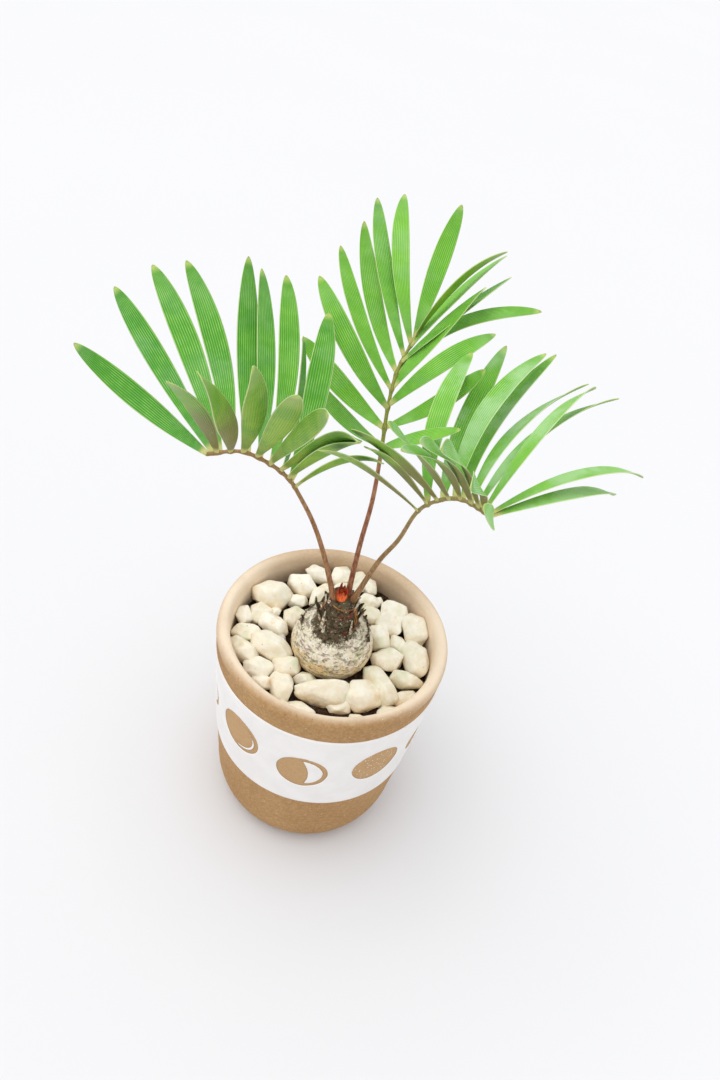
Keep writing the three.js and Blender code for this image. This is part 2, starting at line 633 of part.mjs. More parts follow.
// ---------------------------------------------------------------- the whole plant in its pot

const plant = new THREE.Group();
plant.add(pot(), glazeBand(), soil(), pebbles(), caudex(), bud());
for (const frond of FRONDS) {
  plant.add(petiole(frond), blade(frond));
}

export default plant;
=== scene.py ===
# A young zamia in a small round clay pot. Metres in the scene, +Z up, origin in the middle of the pot's
# base. The shapes below are worked out in millimetres and scaled once, when a piece is made.

import math

import bpy
import numpy as np
from mathutils import Matrix


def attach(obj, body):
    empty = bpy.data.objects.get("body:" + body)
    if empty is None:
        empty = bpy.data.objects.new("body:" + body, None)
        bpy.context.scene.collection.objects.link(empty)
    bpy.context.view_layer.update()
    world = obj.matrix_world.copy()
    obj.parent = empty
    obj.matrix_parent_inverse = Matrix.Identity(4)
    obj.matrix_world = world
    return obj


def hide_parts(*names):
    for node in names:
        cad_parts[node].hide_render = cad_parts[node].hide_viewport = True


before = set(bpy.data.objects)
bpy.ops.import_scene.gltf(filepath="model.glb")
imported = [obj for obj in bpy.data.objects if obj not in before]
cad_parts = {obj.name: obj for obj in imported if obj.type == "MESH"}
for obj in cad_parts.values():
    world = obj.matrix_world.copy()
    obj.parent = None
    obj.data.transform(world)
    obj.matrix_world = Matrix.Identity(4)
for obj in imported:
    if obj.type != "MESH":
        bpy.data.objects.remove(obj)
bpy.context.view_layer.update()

MM = 0.001

# ---------------------------------------------------------------- sizes, in millimetres

POT_HEIGHT = 86.5
RIM_RADIUS = 39.5
FOOT_RADIUS = 25.0
FOOT_ROUND_HEIGHT = 18.0
LOWEST_WALL_RADIUS = 34.7
WALL_TOP_RADIUS = 39.55
WALL_TAPER = 0.0426  # radius lost for each millimetre down the wall
WALL_BOW = 0.00042  # and for its square
WALL_THICKNESS = 4.4
FLOOR_THICKNESS = 6.5
LIP_HEIGHT = 3.0
LIP_POWER = 0.75  # of the lip's cosine and sine, below 1 for a lip that is squarer than an ellipse
DRAIN_COUNT = 3
DRAIN_RADIUS = 2.5
DRAIN_CIRCLE = 13.0
POT_SIDES = 288
POT_UNEVENNESS = 0.16  # of the turned wall, in and out

BAND_BOTTOM = 35.9
BAND_TOP = 76.9
GLAZE_THICKNESS = 0.35  # how far the glaze stands over the bare clay of the moons
MOON_SINK = 0.05  # how far that bare clay lies inside the wall's own radius
MOON_RADIUS = 8.7
BAND_RECESS = 0.7  # how far the pot's wall is set back behind the band
BAND_SIDES = 620
BAND_ROWS = 96
INNER_MOON_RADIUS = 7.0
FAR_FROM_EDGE = 99.0  # a distance for glaze with no edge near it
# Each moon's place round the pot in degrees, its height, where the round edge between its bare and its
# glazed part crosses the middle line, that edge's radius, and the moon's lean in degrees. The glazed part
# lies beyond the edge, inside a thin bare ring. On a bare moon the edge is outside the ring.
BARE = (8.0, 16.0, 0.0)
MOONS = [
    (-89.8, 56.3, 2.2, 17.0, 8.0), (-51.5, 58.5, *BARE), (-16.0, 57.5, 2.4, 17.0, -10.0),
    (20.0, 57.0, -1.1, 30.0, -15.0), (55.0, 57.5, -7.2, 6.9, -15.0), (91.0, 57.0, *BARE),
    (127.0, 57.5, -7.2, 6.9, -15.0), (163.0, 57.0, -1.1, 30.0, -15.0), (-163.5, 57.5, 2.4, 17.0, -10.0),
    (-126.9, 59.1, 6.2, 7.2, -25.0),
]
SPECKLED_MOON = 1

SOIL_LEVEL = 73.6
SOIL_SLOPE = 0.6  # share of the slope of the stones
SOIL_SIDES = 240
PLUG_GAP = 0.3  # between the soil and the inside of the pot
CRUMB_COUNT = 260
CRUMB_START = 13.0  # radius from which crumbs are drawn outwards, clear of the bulb
STONE_LEVEL = 76.7
STONE_SLOPE = 0.13
STONE_FLATNESS = 0.42  # height over the sum of length and width
STONE_PLANES = 13
STONE_SHARPNESS = 22
STONE_SWELL = 1.12
STONE_GAP = 0.15  # between a stone and the bulb or the wall
STONE_SIDES = 44
STONE_ROWS = 26

BULB_RADIUS = 14.2
BULB_HALF_HEIGHT = 12.0
BULB_CENTRE = 79.5
RING_RADIUS = 11.2  # the torn edge of bark round the shoulders
RING_HEIGHT = 86.4
NECK_RADIUS = 6.1
CROWN_HEIGHT = 102.2
BULB_SIDES = 300
FLAKE_COUNT = 30
SCALE_ROWS = 14
SCALE_SIDES = 12
SCALE_THICKNESS = 0.34
FIBRE_RADIUS = 0.12
BUD_PLACE = (-0.4, -1.5)
BUD_RADIUS = 1.45
BUD_HEIGHT = 5.0
BUD_SIDES = 28

STALK_RADIUS = 0.95
TIP_RADIUS = 0.42
STALK_FLARE = 0.3  # added to the radius at the crown
KNOB_HEIGHT = 0.16  # and at each leaflet's joint
STALK_ROWS = 230
STALK_SIDES = 16
BLADE_THICKNESS = 0.5
BLADE_CUP = 0.13  # how far the edges bend up, as a share of half the width
BLADE_FLUTTER = 0.22  # unevenness of a blade's middle line
TWIST_STRAY = 5  # range of the drawn part of a blade's twist, in degrees
JOINT_LENGTH = 1.5
JOINT_THICKNESS = 0.65
SEEDS_PER_FROND = 40
BLADE_ROWS = 42
BLADE_SIDES = 28
VEIN_COUNT = 10
WIDEST = 0.6  # share of a leaflet's length at which it is widest

# ---------------------------------------------------------------- camera, light and ground

FOCAL_PIXELS = 800.0  # focal length over the width of a pixel
IMAGE_WIDTH, IMAGE_HEIGHT = 720, 1080
CAMERA_ELEVATION = 47.8
CAMERA_ROLL = 13.4
CAMERA_DISTANCE = 272.0
RIM_CENTRE_PIXEL = (335.3, 627.2)
SENSOR_WIDTH = 36.0
SKY_STRENGTH = 0.92
SUN_TOWARDS = (-0.26, -0.10, 0.96)
SUN_POWER = 1.42
SUN_WIDTH = 60.0  # degrees of sky
FLOOR_HALF = 6.0  # metres


def rotation_between(start, end):
    """The smallest turn that takes one unit vector to another: I + K + K·K / (1 + cosine), where K is
    the cross-product matrix of start and end."""
    x, y, z = np.cross(start, end)
    skew = np.array([[0, -z, y], [z, 0, -x], [-y, x, 0]])
    return np.eye(3) + skew + skew @ skew / (1 + start @ end)


def placed(name, data, axes=None, place=(0, 0, 0)):
    """A mesh, a lamp or a camera in the scene as an object. Its X, Y and Z can be turned to three axes,
    and its place is in millimetres."""
    item = bpy.data.objects.new(name, data)
    if axes is not None:
        matrix = np.eye(4)
        matrix[:3, :3] = np.stack(axes, -1)
        matrix[:3, 3] = np.asarray(place) * MM
        item.matrix_world = Matrix(matrix)
    bpy.context.scene.collection.objects.link(item)
    return item


def make_camera():
    """A camera at a distance and an elevation from the middle of the rim, rolled, and aimed so that the
    middle of the rim falls on its pixel."""
    elevation, roll = math.radians(CAMERA_ELEVATION), math.radians(CAMERA_ROLL)
    forward = np.array([0, math.cos(elevation), -math.sin(elevation)])
    down = np.array([0, -math.sin(elevation), -math.cos(elevation)])
    level = np.array([[1, 0, 0], down, forward])
    tilt = np.array([
        [math.cos(roll), -math.sin(roll), 0], [math.sin(roll), math.cos(roll), 0], [0, 0, 1]])
    to_rim = np.array([
        (RIM_CENTRE_PIXEL[0] - IMAGE_WIDTH / 2) / FOCAL_PIXELS,
        (RIM_CENTRE_PIXEL[1] - IMAGE_HEIGHT / 2) / FOCAL_PIXELS,
        1.0])
    aim = rotation_between(np.array([0, 0, 1.0]), to_rim / np.linalg.norm(to_rim))
    right, below, ahead = aim @ tilt @ level
    place = np.array([0, 0, POT_HEIGHT]) - forward * CAMERA_DISTANCE
    data = bpy.data.cameras.new("camera")
    data.sensor_fit = "AUTO"
    data.sensor_width = SENSOR_WIDTH
    data.lens = FOCAL_PIXELS / IMAGE_HEIGHT * SENSOR_WIDTH
    data.clip_start, data.clip_end = 0.01, 50.0
    bpy.context.scene.camera = placed("camera", data, (right, -below, -ahead), place)


def soft_sun(name, towards, power, width):
    """A far light in the sky towards a direction, as wide there as an angle in degrees."""
    data = bpy.data.lights.new(name, "SUN")
    data.energy = power
    data.angle = math.radians(width)
    data.color = (1.0, 0.985, 0.96)
    back = unit(np.array(towards, float))
    side = unit(np.cross([0, 0, 1.0], back))
    placed(name, data, (side, np.cross(back, side), back))


def make_studio():
    """Soft daylight: a bright white world, and one wide light from the upper left."""
    scene = bpy.context.scene
    world = bpy.data.worlds.new("studio")
    scene.world = world
    world.use_nodes = True
    sky = world.node_tree.nodes["Background"]
    sky.inputs["Color"].default_value = (0.97, 0.98, 1.0, 1)
    sky.inputs["Strength"].default_value = SKY_STRENGTH
    soft_sun("daylight", SUN_TOWARDS, SUN_POWER, SUN_WIDTH)
    scene.view_settings.view_transform = "Standard"


# ---------------------------------------------------------------- numbers for surfaces


def draw(number):
    """A fixed draw between 0 and 1 for a number, the same every time."""
    wave = np.sin(np.asarray(number, float) * 12.9898) * 43758.5453
    return wave - np.floor(wave)


def lattice_value(i, j, k, seed):
    """A draw between -1 and 1 for each corner of a cubic lattice, from its three whole numbers."""
    mixed = (i * 73856093) ^ (j * 19349663) ^ (k * 83492791) ^ (seed * 7919 + 101)
    mixed = ((mixed ^ (mixed >> 13)) * 1274126177) & 0xFFFFFFFF
    mixed = ((mixed ^ (mixed >> 15)) * 668265263) & 0xFFFFFFFF
    return (mixed >> 8 & 0xFFFF) / 32767.5 - 1


def rough(points, size, seed=0, layers=3):
    """Layered value noise between about -1 and 1: the eight lattice draws round each point, blended by
    smoothstep weights, added over layers that are each half as large and half as strong."""
    total, strength, weight_sum = 0.0, 1.0, 0.0
    for layer in range(layers):
        scaled = np.asarray(points, float) * (2**layer / size)
        cell = np.floor(scaled).astype(np.int64)
        share = scaled - cell
        share = share * share * (3 - 2 * share)
        value = 0.0
        for corner in range(8):
            step = np.array([corner & 1, corner >> 1 & 1, corner >> 2 & 1])
            weight = np.prod(np.where(step == 1, share, 1 - share), axis=-1)
            place = cell + step
            value = value + weight * lattice_value(
                place[..., 0], place[..., 1], place[..., 2], seed + 31 * layer)
        total = total + strength * value
        weight_sum += strength
        strength *= 0.5
    return total / weight_sum


def ease(value, low, high):
    """Smoothstep: 0 below low, 1 above high, and 3t² - 2t³ between them."""
    share = np.clip((value - low) / (high - low), 0, 1)
    return share * share * (3 - 2 * share)


def unit(vectors):
    """Vectors over their length."""
    return vectors / np.linalg.norm(vectors, axis=-1, keepdims=True)


def row_faces(rows, around):
    """Quads between closed rows of points, in the order that faces out for rows that turn left."""
    a = np.arange(rows - 1)[:, None] * around + np.arange(around)
    b = np.arange(rows - 1)[:, None] * around + (np.arange(around) + 1) % around
    return np.stack([a, b, b + around, a + around], axis=-1).reshape(-1, 4)


def closed_skin(rows, facts=None):
    """A closed skin from rows (row, side, xyz): quads between the rows, and at each end a fan to the
    row's mean point. Each fact is one value per point, and an end point takes its row's mean."""
    count, around = rows.shape[:2]
    points = np.concatenate([rows.reshape(-1, 3), rows[:1].mean(1), rows[-1:].mean(1)])
    ring = np.arange(around)
    following = (ring + 1) % around
    start, end = count * around, count * around + 1
    last = (count - 1) * around
    first_fan = np.stack([np.full(around, start), following, ring], axis=-1)
    last_fan = np.stack([np.full(around, end), last + ring, last + following], axis=-1)
    kept = {}
    for name, values in (facts or {}).items():
        full = np.broadcast_to(values, (count, around)).astype(float)
        kept[name] = np.concatenate([full.ravel(), [full[0].mean(), full[-1].mean()]])
    return points, row_faces(count, around), np.concatenate([first_fan, last_fan]), kept


def turns(around):
    """Angles in even steps once round, from 0."""
    return np.arange(around) / around * 2 * math.pi


def about_axis(radius, angle, height):
    """Points at a radius, an angle and a height about Z."""
    x, y = radius * np.cos(angle), radius * np.sin(angle)
    return np.stack([x, y, np.broadcast_to(height, x.shape)], -1)


def turned(profile, around):
    """Rows of revolution: each (radius, height) of the profile makes one row about Z."""
    radius, height = np.asarray(profile, float).T
    return about_axis(radius[:, None], turns(around), height[:, None])


def even_path(corners, step):
    """Points along a polyline, at about an even step."""
    corners = np.asarray(corners, float)
    lengths = np.linalg.norm(np.diff(corners, axis=0), axis=1)
    reach = np.concatenate([[0], np.cumsum(lengths)])
    count = max(2, int(round(reach[-1] / step)) + 1)
    distances = np.linspace(0, reach[-1], count)
    return np.stack([np.interp(distances, reach, corners[:, axis]) for axis in range(corners.shape[1])], -1)


def make_piece(name, skins, look, slot, *replaced):
    """One mesh object from skins of (points, quads, triangles, facts), scaled to metres, smooth shaded,
    with each fact as a point attribute."""
    points, quads, triangles, at = [], [], [], 0
    for skin in skins:
        points.append(skin[0])
        quads.append(skin[1] + at)
        triangles.append(skin[2] + at)
        at += len(skin[0])
    points, quads, triangles = (np.concatenate(part) for part in (points, quads, triangles))
    corners = np.concatenate([quads.ravel(), triangles.ravel()]).astype(np.int32)
    sizes = np.concatenate([np.full(len(quads), 4), np.full(len(triangles), 3)])
    starts = np.concatenate([[0], np.cumsum(sizes)[:-1]]).astype(np.int32)
    mesh = bpy.data.meshes.new(name)
    mesh.vertices.add(len(points))
    mesh.vertices.foreach_set("co", (points * MM).astype(np.float32).ravel())
    mesh.loops.add(len(corners))
    mesh.loops.foreach_set("vertex_index", corners)
    mesh.polygons.add(len(sizes))
    mesh.polygons.foreach_set("loop_start", starts)
    mesh.polygons.foreach_set("use_smooth", np.ones(len(sizes), bool))
    mesh.update(calc_edges=True)
    mesh.validate()
    for fact in skins[0][3]:
        values = np.concatenate([skin[3][fact] for skin in skins])
        mesh.attributes.new(fact, "FLOAT", "POINT").data.foreach_set("value", values.astype(np.float32))
    piece = placed(name, mesh)
    mesh.materials.append(look)
    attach(piece, "root")
    if replaced:
        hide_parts(*replaced)
    return piece


# ---------------------------------------------------------------- finishes


def tint(code):
    """A hex colour as the linear values that a shader's socket takes."""
    parts = [int(code[at:at + 2], 16) / 255 for at in (0, 2, 4)]
    return tuple(p / 12.92 if p <= 0.04045 else ((p + 0.055) / 1.055) ** 2.4 for p in parts) + (1.0,)


class Finish:
    """A material in the making. Each method adds one node and gives back the socket it ends in."""

    def __init__(self, name, roughness, specular=0.5):
        self.material = bpy.data.materials.new(name)
        self.material.use_nodes = True
        self.tree = self.material.node_tree
        self.shader = self.tree.nodes["Principled BSDF"]
        self.shader.inputs["Roughness"].default_value = roughness
        self.shader.inputs["Specular IOR Level"].default_value = specular
        self.place = self.tree.nodes.new("ShaderNodeTexCoord").outputs["Object"]

    def node(self, kind, inputs, **settings):
        """A shader node with its inputs fed and its settings made."""
        node = self.tree.nodes.new(kind)
        for name, value in settings.items():
            setattr(node, name, value)
        for name, value in inputs.items():
            self.feed(node.inputs[name], value)
        return node

    def feed(self, socket, value):
        """Links a socket to another, or sets it to a value or to a hex colour."""
        if isinstance(value, bpy.types.NodeSocket):
            self.tree.links.new(value, socket)
        else:
            socket.default_value = tint(value) if isinstance(value, str) else value

    def spread(self, size, stretch=(1, 1, 1), shift=0.0):
        """Object coordinates over a pattern's size in millimetres, stretched along the axes."""
        scale = tuple(1 / (size * MM * s) for s in stretch)
        mapping = self.node("ShaderNodeMapping", {
            "Vector": self.place, "Scale": scale, "Location": (shift, shift, shift)})
        return mapping.outputs["Vector"]

    def cloud(self, size, stretch=(1, 1, 1), detail=3.0, roughness=0.55, shift=0.0):
        """Soft noise, mostly between 0.3 and 0.7."""
        vector = self.spread(size, stretch, shift)
        noise = self.node("ShaderNodeTexNoise", {
            "Vector": vector, "Scale": 1.0, "Detail": detail, "Roughness": roughness})
        return noise.outputs["Fac"]

    def patch(self, size, low, high, start=0.0, end=1.0, **pattern):
        """A cloud as a mask: start where it is below low, end where it is above high."""
        return self.step(self.cloud(size, **pattern), low, high, start, end)

    def cells(self, size, stretch=(1, 1, 1), shift=0.0):
        """The distance to the nearest of scattered points, over the pattern's size, and a random tone
        for each point."""
        vector = self.spread(size, stretch, shift)
        voronoi = self.node("ShaderNodeTexVoronoi", {"Vector": vector, "Scale": 1.0})
        parts = self.node("ShaderNodeSeparateColor", {"Color": voronoi.outputs["Color"]})
        return voronoi.outputs["Distance"], parts.outputs[0]

    def specks(self, size, reach, tones, **pattern):
        """A mask of round specks: it fades over a range of distances from a point, and only the points
        whose tone is above a range of tones have one."""
        distance, tone = self.cells(size, **pattern)
        few = self.step(tone, *tones)
        return self.sum("MULTIPLY", self.step(distance, *reach, 1.0, 0.0), few)

    def fact(self, name):
        """A number that the mesh has at each point."""
        return self.node("ShaderNodeAttribute", {}, attribute_name=name).outputs["Fac"]

    def place_on_pot(self):
        """Height over the pot's base, distance from its axis and place along Y, in millimetres."""
        parts = self.node("ShaderNodeSeparateXYZ", {"Vector": self.place})
        flat = self.node("ShaderNodeCombineXYZ", {"X": parts.outputs["X"], "Y": parts.outputs["Y"]})
        length = self.node("ShaderNodeVectorMath", {0: flat.outputs[0]}, operation="LENGTH")
        return [self.sum("MULTIPLY", socket, 1 / MM)
                for socket in (parts.outputs["Z"], length.outputs["Value"], parts.outputs["Y"])]

    def sum(self, operation, a, b=0.0):
        """The result of a math node, such as MULTIPLY, on one or two values."""
        node = self.node("ShaderNodeMath", {0: a, 1: b}, operation=operation)
        return node.outputs[0]

    def step(self, value, low, high, start=0.0, end=1.0):
        """Start below low, end above high, and a smooth step between them."""
        node = self.node("ShaderNodeMapRange", {
            "Value": value, "From Min": low, "From Max": high, "To Min": start, "To Max": end,
        }, interpolation_type="SMOOTHSTEP")
        return node.outputs["Result"]

    def blend(self, share, a, b):
        """Colour a where the share is 0, and b where it is 1."""
        node = self.node("ShaderNodeMix", {}, data_type="RGBA", blend_type="MIX")
        for socket, value in zip((node.inputs[0], node.inputs[6], node.inputs[7]), (share, a, b)):
            self.feed(socket, value)
        return node.outputs[2]

    def paint(self, colour, mask, over, strength):
        """A colour with another over it where the mask is 1, at a strength."""
        return self.blend(self.sum("MULTIPLY", mask, strength), colour, over)

    def relief(self, value, depth, under=None):
        """A bump of a depth in millimetres, over an earlier one."""
        inputs = {"Height": value, "Distance": depth * MM, "Strength": 1.0}
        if under is not None:
            inputs["Normal"] = under
        return self.node("ShaderNodeBump", inputs).outputs["Normal"]

    def done(self, colour, normal=None, roughness=None):
        """The material, with its colour and what else is given fed to its shader."""
        self.feed(self.shader.inputs["Base Color"], colour)
        if normal is not None:
            self.feed(self.shader.inputs["Normal"], normal)
        if roughness is not None:
            self.feed(self.shader.inputs["Roughness"], roughness)
        return self.material


def raw_clay(finish):
    """Tan clay: broad warm and cool patches, a fine sandy mottle, pale pores and a few dark iron specks."""
    colour = finish.blend(finish.patch(26, 0.3, 0.7, detail=2), "b48b5b", "a57b4a")
    mottle = finish.patch(1.1, 0.34, 0.66, detail=5, roughness=0.8)
    colour = finish.paint(colour, mottle, "cfad80", 0.5)
    colour = finish.paint(colour, finish.cells(0.6, shift=4.4)[1], "906c44", 0.35)
    distance, tone = finish.cells(1.7)
    spot = finish.step(distance, 0.06, 0.16, 1.0, 0.0)
    dark = finish.sum("MULTIPLY", spot, finish.step(tone, 0.80, 0.82))
    colour = finish.paint(colour, dark, "654a30", 0.75)
    pale = finish.sum("MULTIPLY", spot, finish.step(tone, 0.28, 0.30, 1.0, 0.0))
    colour = finish.paint(colour, pale, "f0dcc0", 0.6)
    normal = finish.relief(finish.cloud(0.5, detail=4, roughness=0.75), 0.14)
    return colour, finish.relief(finish.sum("MULTIPLY", spot, -1.0), 0.12, normal)


def clay_finish():
    """Raw clay, paled to a rosy cream on the inside of the wall and over the lip: partly a pale bloom
    on the clay, partly a painted highlight where light catches the lip and the inner wall. Painted shade
    ends the cream sooner on the front of the lip and makes it fainter at the back of the pot."""
    finish = Finish("raw_clay", 0.88, 0.3)
    colour, normal = raw_clay(finish)
    height, radius, depth = finish.place_on_pot()
    bore = RIM_RADIUS - WALL_THICKNESS
    # Pale bloom and painted highlight over the lip and inner wall; painted shade pulls the cream in on the
    # front of the lip.
    reach = finish.sum("SUBTRACT", radius, finish.step(depth, -38.0, -14.0, 0.0, 1.9))
    lip = finish.step(reach, bore + 0.4, bore + 4.4, 0.9, 0.0)
    lip = finish.sum("MULTIPLY", lip, finish.step(height, POT_HEIGHT - 4.0, POT_HEIGHT - 2.0))
    inside = finish.step(radius, bore + 0.3, bore + 1.8, 0.95, 0.0)
    inside = finish.sum("MULTIPLY", inside, finish.step(height, 60.0, 76.0))
    bloom_and_highlight = finish.sum("MAXIMUM", lip, inside)
    # Painted shade: the cream is fainter at the back of the pot.
    bloom_and_highlight = finish.sum("MULTIPLY", bloom_and_highlight, finish.step(depth, 12.0, 36.0, 1.0, 0.42))
    stain = finish.patch(11, 0.42, 0.72, 1.0, 0.85, detail=3, shift=2.2)
    return finish.done(finish.paint(colour, bloom_and_highlight, "fbe8d0", stain), normal)


def glaze_finish():
    """White glaze where the fact glazed, a distance in millimetres from the glaze's edge, is above 0, and
    bare clay inside the moons. The speckled moon has fine white drops."""
    finish = Finish("glaze_over_clay", 0.4)
    clay, grain = raw_clay(finish)
    clay = finish.blend(0.5, clay, "cca77a")
    edge = finish.fact("glazed")
    glazed = finish.step(edge, -0.05, 0.05)
    clay = finish.blend(finish.step(edge, -0.45, -0.05, 0.0, 0.5), clay, "7d5f3f")
    white = finish.blend(finish.patch(9, 0.3, 0.7, detail=3), "f4f1ee", "eeebe8")
    white = finish.blend(finish.step(edge, 0.05, 0.5, 0.5, 0.0), white, "fbf8f3")
    drops = finish.specks(0.8, (0.16, 0.30), (0.45, 0.5))
    clay = finish.paint(clay, drops, "f6eee0", finish.fact("speckled"))
    colour = finish.blend(glazed, clay, white)
    normal = finish.relief(finish.cloud(2.6, detail=2), 0.03, grain)
    return finish.done(colour, normal, finish.step(glazed, 0.0, 1.0, 0.88, 0.38))


def stone_finish():
    """Cream stone: each stone its own tone, chalky patches, faint green and ochre stains, and few pits. The
    fact top, from -1 below to 1 above, leaves the flanks ochre and the feet dark: in part dust and soil on
    them, in part painted shade below each stone's middle."""
    finish = Finish("tumbled_stone", 0.8, 0.35)
    colour = finish.blend(finish.fact("tone"), "fdf7e8", "f1e8d0")
    colour = finish.paint(colour, finish.patch(3.2, 0.40, 0.66, detail=4, roughness=0.65), "fefaf0", 0.7)
    colour = finish.paint(colour, finish.patch(7.5, 0.52, 0.74, detail=2, shift=3.1), "d6dcb8", 0.6)
    colour = finish.paint(colour, finish.patch(5.0, 0.54, 0.74, detail=3, shift=8.7), "edd3ac", 0.6)
    pits = finish.specks(2.3, (0.05, 0.12), (0.80, 0.82), shift=1.7)
    colour = finish.paint(colour, pits, "8d7a58", 0.65)
    uneven = finish.patch(3.5, 0.3, 0.7, -0.3, 0.3, detail=3, shift=6.6)
    top = finish.sum("ADD", finish.fact("top"), uneven)
    # Ochre flanks and dark feet: dust and soil on the stones, with painted shade below each stone's middle.
    colour = finish.blend(finish.step(top, -0.4, 0.45, 0.75, 0.0), colour, "ddc39a")
    colour = finish.blend(finish.step(top, -0.9, -0.25, 0.8, 0.0), colour, "6f5a3e")
    normal = finish.relief(finish.cloud(0.7, detail=4, roughness=0.65), 0.12)
    return finish.done(colour, finish.relief(finish.cloud(2.2, detail=3), 0.4, normal))


def soil_finish():
    """Dark brown soil in fine crumbs, more even in patches."""
    finish = Finish("potting_soil", 0.95, 0.2)
    colour = finish.blend(finish.patch(1.4, 0.35, 0.65, detail=5, roughness=0.7), "2a1c15", "57402f")
    colour = finish.blend(finish.patch(6, 0.55, 0.7, detail=2), colour, "4a3a2b")
    return finish.done(colour, finish.relief(finish.cloud(1.0, detail=5, roughness=0.75), 0.7))


def perlite_finish():
    """Chalky white grain."""
    finish = Finish("perlite", 0.9, 0.3)
    colour = finish.blend(finish.cloud(1.0, detail=4), "f2f0ee", "d9d6d4")
    return finish.done(colour, finish.relief(finish.cloud(0.5, detail=4), 0.25))


def bulb_finish():
    """Tan skin with green stains, fine level cracks and pale flakes, under a pale, stained crust where the
    fact crust is high, and brown flecks over both. Where the fact bark is high it turns, through grey
    scraps, to dark bark with moss, warm patches and glints, which the fact rust reddens."""
    finish = Finish("bulb_bark", 0.82, 0.3)
    skin = finish.blend(finish.patch(3.6, 0.35, 0.65, detail=4, roughness=0.65), "ffecc6", "e8c68c")
    skin = finish.paint(skin, finish.patch(5.5, 0.48, 0.68, detail=3, shift=5.0), "d3cc98", 0.5)
    crack = finish.patch(
        3.0, 0.40, 0.46, 1.0, 0.0, stretch=(1, 1, 0.25), detail=6, roughness=0.75, shift=2.0)
    skin = finish.paint(skin, crack, "a97a48", 0.55)
    flakes = finish.patch(1.6, 0.54, 0.6, stretch=(1, 1, 0.5), detail=5, roughness=0.7, shift=15.0)
    skin = finish.paint(skin, flakes, "fbf1d8", 0.6)
    crust = finish.blend(finish.patch(1.0, 0.36, 0.62, detail=5, roughness=0.75), "fffaec", "efe1c2")
    crust = finish.blend(finish.patch(3.2, 0.52, 0.66, 0.0, 0.7, detail=3, shift=9.0), crust, "f3d8cc")
    crust = finish.blend(finish.patch(3.8, 0.54, 0.66, 0.0, 0.7, detail=3, shift=13.0), crust, "d3d0a8")
    crust = finish.paint(crust, crack, "7a6449", 0.6)
    uneven = finish.patch(2.4, 0.3, 0.7, -0.45, 0.45, detail=4, roughness=0.7, shift=4.0)
    share = finish.sum("ADD", finish.fact("crust"), uneven)
    colour = finish.blend(finish.step(share, 0.1, 0.85), skin, crust)
    flecks = finish.specks(1.5, (0.16, 0.34), (0.55, 0.6), stretch=(1.5, 1.5, 0.8))
    colour = finish.paint(colour, flecks, "6b4c38", 0.7)
    bark = finish.blend(
        finish.patch(1.3, 0.36, 0.64, detail=5, roughness=0.75, shift=6.0), "271c14", "77644a")
    bark = finish.paint(bark, finish.patch(2.2, 0.5, 0.62, detail=3, shift=12.0), "66684a", 0.6)
    bark = finish.paint(bark, finish.patch(2.6, 0.54, 0.66, detail=3, shift=17.0), "6e4028", 0.5)
    bark = finish.paint(bark, finish.patch(0.8, 0.64, 0.70, detail=3, shift=7.7), "e0d9cf", 0.85)
    bark = finish.blend(finish.fact("rust"), bark, "7a3a22")
    scraps = finish.patch(1.2, 0.3, 0.7, -0.5, 0.5, detail=6, roughness=0.8, shift=1.3)
    dark = finish.sum("ADD", finish.fact("bark"), scraps)
    grey = finish.blend(
        finish.patch(0.9, 0.4, 0.62, detail=4, roughness=0.7, shift=21.0), "958a70", "dccfb6")
    colour = finish.blend(finish.step(dark, 0.12, 0.42), colour, grey)
    colour = finish.blend(finish.step(dark, 0.40, 0.66), colour, bark)
    normal = finish.relief(finish.cloud(0.6, detail=5, roughness=0.7), 0.25)
    normal = finish.relief(finish.sum("MULTIPLY", crack, -1.0), 0.3, normal)
    normal = finish.relief(finish.cloud(1.8, detail=4, roughness=0.7, shift=6.0), 0.6, normal)
    return finish.done(colour, normal)


def bud_finish():
    """Orange-red scales with a lengthwise grain, dark where the fact dark is 1."""
    finish = Finish("bud_scales", 0.6, 0.35)
    upright = (0.5, 0.5, 3.0)
    colour = finish.blend(finish.patch(0.9, 0.35, 0.65, stretch=upright, detail=4), "c83412", "ff8440")
    colour = finish.blend(finish.fact("dark"), colour, "6e2416")
    return finish.done(colour, finish.relief(finish.cloud(0.5, stretch=upright, detail=3), 0.15))


def fibre_finish():
    """Dry orange and brown fibre."""
    finish = Finish("dry_fibre", 0.7, 0.3)
    colour = finish.blend(finish.patch(1.5, 0.35, 0.65, detail=3), "d08a3c", "9c5a2c")
    return finish.done(colour, finish.relief(finish.cloud(0.3, detail=3), 0.05))


def stalk_finish(name, low, high, green):
    """A smooth stalk, from one brown at its foot to another at its top and green where the fact green is 1,
    with pale streaks, fainter on the green, and fine dark specks."""
    finish = Finish(name, 0.5, 0.45)
    colour = finish.blend(finish.fact("along"), low, high)
    colour = finish.blend(finish.fact("green"), colour, green)
    streak = finish.patch(0.7, 0.35, 0.65, stretch=(1, 1, 4), detail=4)
    colour = finish.paint(colour, streak, "d4a878", finish.step(finish.fact("green"), 0.0, 1.0, 0.36, 0.14))
    specks = finish.specks(0.55, (0.2, 0.4), (0.6, 0.65), stretch=(1, 1, 1.6))
    colour = finish.paint(colour, specks, "3b2417", 0.6)
    return finish.done(colour, finish.relief(finish.cloud(0.5, stretch=(1, 1, 5), detail=3), 0.06))


